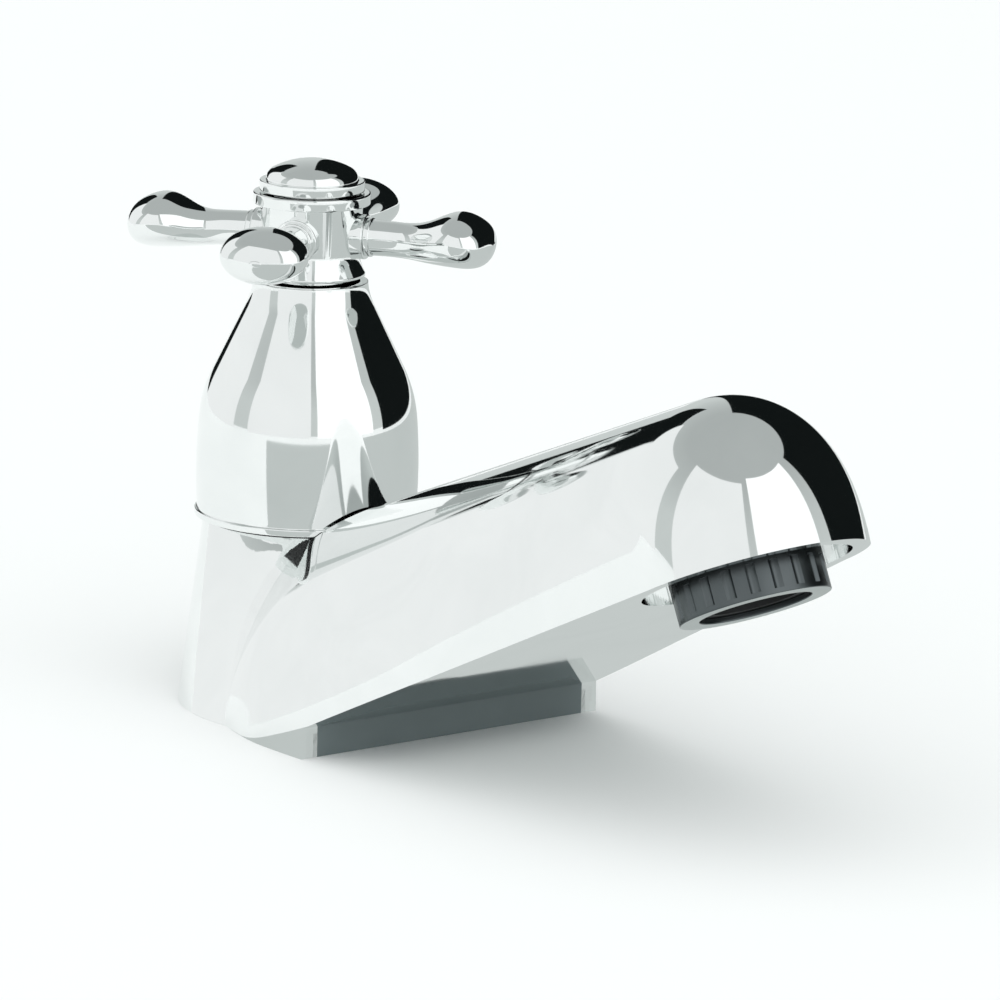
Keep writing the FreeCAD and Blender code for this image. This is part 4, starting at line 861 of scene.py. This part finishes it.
def makeFluter():
    # presses scallops into a round form between two heights
    sizes = ("Count", "Outside", "Flute Radius", "Flute Depth", "Low", "High")
    tree, entry, leave = startTree("pressFlutes", [(label, "Float") for label in sizes], "Fluted")

    def work(operation, *values):
        return calculate(tree, operation, *values)

    position = addNode(tree, "GeometryNodeInputPosition")
    x, y, z = addNode(tree, "ShaderNodeSeparateXYZ", Vector=position.outputs[0]).outputs
    angle = work("ARCTAN2", y, x)
    turn = work("DIVIDE", work("MULTIPLY", angle, entry.outputs["Count"]), 2 * math.pi)
    nearest = work("SUBTRACT", turn, work("ROUND", turn))
    offAngle = work("DIVIDE", work("MULTIPLY", nearest, 2 * math.pi), entry.outputs["Count"])
    across = work("MULTIPLY", work("SINE", offAngle), entry.outputs["Outside"])
    radius = entry.outputs["Flute Radius"]
    squares = work("SUBTRACT", work("MULTIPLY", radius, radius), work("MULTIPLY", across, across))
    inside = work("MAXIMUM", squares, 0.0)
    centre = work("SUBTRACT", work("ADD", entry.outputs["Outside"], radius), entry.outputs["Flute Depth"])
    scooped = work("SUBTRACT", centre, work("SQRT", inside))
    far = work("SQRT", work("ADD", work("MULTIPLY", x, x), work("MULTIPLY", y, y)))
    smaller = work("DIVIDE", work("MINIMUM", far, scooped), far)
    inBand = work("MULTIPLY", work("GREATER_THAN", z, entry.outputs["Low"]),
                  work("LESS_THAN", z, entry.outputs["High"]))
    inFlute = work("MULTIPLY", inBand, work("GREATER_THAN", inside, 0.0))
    scale = work("ADD", work("MULTIPLY", work("SUBTRACT", smaller, 1.0), inFlute), 1.0)
    moved = addNode(tree, "ShaderNodeCombineXYZ", X=work("MULTIPLY", x, scale),
                    Y=work("MULTIPLY", y, scale), Z=z)
    placed = addNode(tree, "GeometryNodeSetPosition", Geometry=entry.outputs["Piece"],
                     Position=moved.outputs[0])
    return endTree(tree, entry, leave, placed.outputs[0])


def makeAeratorRing():
    ring = aeratorRing
    low, high, step = ring["fluteLow"], ring["fluteHigh"], ring["bandStep"]
    outside = [(ring["radius"], height) for height in (low - step, low + step, (low + high) / 2,
                                                       high - step, high + step)]
    outline = [(ring["opening"], 0), (ring["radius"], 0)] + outside
    outline += [(ring["radius"], ring["height"]), (ring["bore"], ring["height"]), (ring["bore"], ring["lip"]),
                (ring["opening"], ring["lip"])]
    shown = showObject("aeratorRing", turnedMesh("aeratorRing", easeCorners(outline, ring["edge"]),
                                                 steps=ring["flutes"] * ring["stepsPerFlute"]))
    runTree(shown, makeFluter(), Count=float(ring["flutes"]), Outside=ring["radius"] * millimetre,
            FluteRadius=ring["fluteRadius"] * millimetre, FluteDepth=ring["fluteDepth"] * millimetre,
            Low=low * millimetre, High=high * millimetre, Finish=ringDarkPlating)
    # the lower face takes the lighter plating, a painted highlight
    shown.data.materials.append(lipHighlightPlating)
    for polygon in shown.data.polygons:
        if polygon.center.z < ring["lipFace"] * millimetre:
            polygon.material_index = 1
    onOutlet(keepCorners(shown.data))
    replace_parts(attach(shown, "body"), "aerator_ring")


makeAeratorRing()
print("aerator ring made")

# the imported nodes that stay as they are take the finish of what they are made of
finishes = {
    basePlastic: ("base_insert",),
    jetPlastic: ("aerator_insert", "aerator_diffuser"),
    rubber: ("base_gasket", "bell_seal", "tap_washer", "spindle_orings", "aerator_washer"),
    steel: ("insert_screws", "handle_screw", "handle_screw_washer", "washer_screw", "spindle_circlip",
            "aerator_screens"),
    palePlastic: ("thrust_washer", "bonnet_washer"),
    brass: ("water_core", "inlet_bush", "valve_seat", "waterway_tube", "outlet_nipple", "bonnet",
            "bell_lock_ring", "spindle", "valve_piston"),
    chrome: ("tap_body", "bell_cover", "aerator_ring", "handle_hub", "dome_cap", "handle_arm_right",
             "handle_arm_back", "handle_arm_left", "handle_arm_front")}
for finish, nodes in finishes.items():
    for node in nodes:
        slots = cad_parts[node].data.materials
        slots.clear()
        slots.append(finish)
print("nodes finished")

# the room: a pale floor, a bright horizon, and far off three pale panels and two dark screens for the plating
# the floor's size and level are in metres
room = {"floorSize": 12.0, "floorLevel": -0.00002, "floorColour": (0.9, 0.905, 0.905), "floorRoughness": 0.9,
        "skyLow": (0.62, 0.66, 0.65), "skyHigh": (0.46, 0.49, 0.485), "fadeStart": 0.3, "fadeEnd": 0.8,
        "skyStrength": 1.0}
# azimuths in degrees count from the spout's own direction towards +X; distances and heights in millimetres
white = (1.2, 1.22, 1.22)
pale = (0.94, 0.96, 0.96)
jet = (0.006, 0.008, 0.008)
panelCentre = (0, -50)
panels = {"leftPanel": {"distance": 1600, "azimuths": (-104, -34), "height": 2200, "tone": pale},
          "frontPanel": {"distance": 1600, "azimuths": (-27, 37), "height": 2500, "tone": white},
          "sidePanel": {"distance": 1600, "azimuths": (-181, -122), "height": 1500, "tone": pale},
          "rightScreen": {"distance": 1500, "azimuths": (50, 142), "height": 2200, "tone": jet},
          "backScreen": {"distance": 1500, "azimuths": (156, 178), "height": 1300, "tone": jet}}
# a grey card on the floor, ahead and to the right of the tap, that only the plating sees
floorCard = {"centre": (0, -14), "radii": (34, 800), "azimuths": (-80, 148), "level": -0.005,
             "tone": (0.58, 0.62, 0.61)}
softLight = {"from": (-0.35, -0.3, 1.0), "spreadDegrees": 110, "strength": 2.1}


def showFrontOnly(tree, shader):
    # seen from behind, the surface is clear
    clear = addNode(tree, "ShaderNodeBsdfTransparent")
    seenFrom = addNode(tree, "ShaderNodeNewGeometry")
    either = addNode(tree, "ShaderNodeMixShader")
    tree.links.new(seenFrom.outputs["Backfacing"], either.inputs[0])
    tree.links.new(shader.outputs[0], either.inputs[1])
    tree.links.new(clear.outputs[0], either.inputs[2])
    tree.links.new(either.outputs[0], tree.nodes["Material Output"].inputs["Surface"])


def makeFloor():
    half = room["floorSize"] / 2
    mesh = bpy.data.meshes.new("floor")
    corners = [(-half, -half), (half, -half), (half, half), (-half, half)]
    mesh.from_pydata([(*corner, room["floorLevel"]) for corner in corners], [], [(0, 1, 2, 3)])
    floor = showObject("floor", mesh)
    material, tree, shader, place = startMaterial("floorPaper")
    shader.inputs["Base Color"].default_value = (*room["floorColour"], 1)
    shader.inputs["Roughness"].default_value = room["floorRoughness"]
    showFrontOnly(tree, shader)
    mesh.materials.append(material)


def makeSurroundings():
    world = bpy.data.worlds.new("studio")
    bpy.context.scene.world = world
    world.use_nodes = True
    tree = world.node_tree
    background = tree.nodes["Background"]
    place = addNode(tree, "ShaderNodeTexCoord")
    height = addNode(tree, "ShaderNodeSeparateXYZ", Vector=place.outputs["Generated"])
    ramp = addNode(tree, "ShaderNodeValToRGB", Fac=height.outputs["Z"])
    ramp.color_ramp.elements[0].position = room["fadeStart"]
    ramp.color_ramp.elements[0].color = (*room["skyLow"], 1)
    ramp.color_ramp.elements[1].position = room["fadeEnd"]
    ramp.color_ramp.elements[1].color = (*room["skyHigh"], 1)
    tree.links.new(ramp.outputs["Color"], background.inputs["Color"])
    background.inputs["Strength"].default_value = room["skyStrength"]


def makeScreen(name, columns=60):
    # a curved upright screen that shows its inner side only, and only to the plating
    screen = panels[name]
    first, last = screen["azimuths"]
    points = []
    for level in (0, screen["height"]):
        for column in range(columns + 1):
            azimuth = math.radians(first + (last - first) * column / columns)
            points.append((panelCentre[0] + screen["distance"] * math.sin(azimuth),
                           panelCentre[1] - screen["distance"] * math.cos(azimuth), level))
    stageCard(name, points, columns, 1, screen["tone"])


def makeFloorCard(columns=60, rows=4):
    first, last = floorCard["azimuths"]
    inner, outer = floorCard["radii"]
    points = []
    for row in range(rows + 1):
        reach = inner + (outer - inner) * row / rows
        for column in range(columns + 1):
            azimuth = math.radians(first + (last - first) * column / columns)
            points.append((floorCard["centre"][0] + reach * math.sin(azimuth),
                           floorCard["centre"][1] - reach * math.cos(azimuth), floorCard["level"]))
    stageCard("floorCard", points, columns, rows, floorCard["tone"])


def stageCard(name, points, columns, rows, tone):
    # an even card that only mirrors show
    faces = [((row + 1) * (columns + 1) + column, (row + 1) * (columns + 1) + column + 1,
              row * (columns + 1) + column + 1, row * (columns + 1) + column)
             for row in range(rows) for column in range(columns)]
    mesh = bpy.data.meshes.new(name)
    mesh.from_pydata([Vector(point) * millimetre for point in points], [], faces)
    shown = showObject(name, mesh)
    material, tree, shader, place = startMaterial(name)
    shader.inputs["Base Color"].default_value = (0, 0, 0, 1)
    shader.inputs["Specular IOR Level"].default_value = 0.0
    shader.inputs["Emission Color"].default_value = (*tone, 1)
    shader.inputs["Emission Strength"].default_value = 1.0
    showFrontOnly(tree, shader)
    mesh.materials.append(material)
    shown.visible_camera = False
    shown.visible_shadow = False
    shown.visible_diffuse = False


def makeSoftLight():
    light = bpy.data.lights.new("softLight", "SUN")
    light.energy = softLight["strength"]
    light.angle = math.radians(softLight["spreadDegrees"])
    lamp = bpy.data.objects.new("softLight", light)
    bpy.context.scene.collection.objects.link(lamp)
    lamp.rotation_euler = Vector(softLight["from"]).to_track_quat("Z", "Y").to_euler()
    lamp.visible_glossy = False


makeFloor()
makeSurroundings()
for panel in panels:
    makeScreen(panel)
makeFloorCard()
makeSoftLight()
print("room made")

# the camera: angles in degrees, places in metres, lens and sensor in millimetres
view = {"azimuth": -37.86, "elevation": 12.42, "roll": 1.36, "distance": 1.3957,
        "target": (0.04739, 0.0, 0.03106), "lens": 254.1, "sensorWidth": 36.0, "clipEnd": 50.0}


def makeCamera():
    azimuth, elevation, roll = (math.radians(view[key]) for key in ("azimuth", "elevation", "roll"))
    back = Vector((math.sin(azimuth) * math.cos(elevation), -math.cos(azimuth) * math.cos(elevation),
                   math.sin(elevation)))
    level = Vector((math.cos(azimuth), math.sin(azimuth), 0))
    upright = back.cross(level)
    right = level * math.cos(roll) + upright * math.sin(roll)
    up = back.cross(right)
    camera = bpy.data.objects.new("camera", bpy.data.cameras.new("camera"))
    bpy.context.scene.collection.objects.link(camera)
    camera.data.lens = view["lens"]
    camera.data.sensor_width = view["sensorWidth"]
    camera.data.clip_end = view["clipEnd"]
    spot = Vector(view["target"]) + back * view["distance"]
    rows = [(right[axis], up[axis], back[axis], spot[axis]) for axis in range(3)]
    camera.matrix_world = Matrix(rows + [(0, 0, 0, 1)])
    bpy.context.scene.camera = camera
    bpy.context.scene.view_settings.view_transform = "Standard"


makeCamera()
print("camera and sizes done")
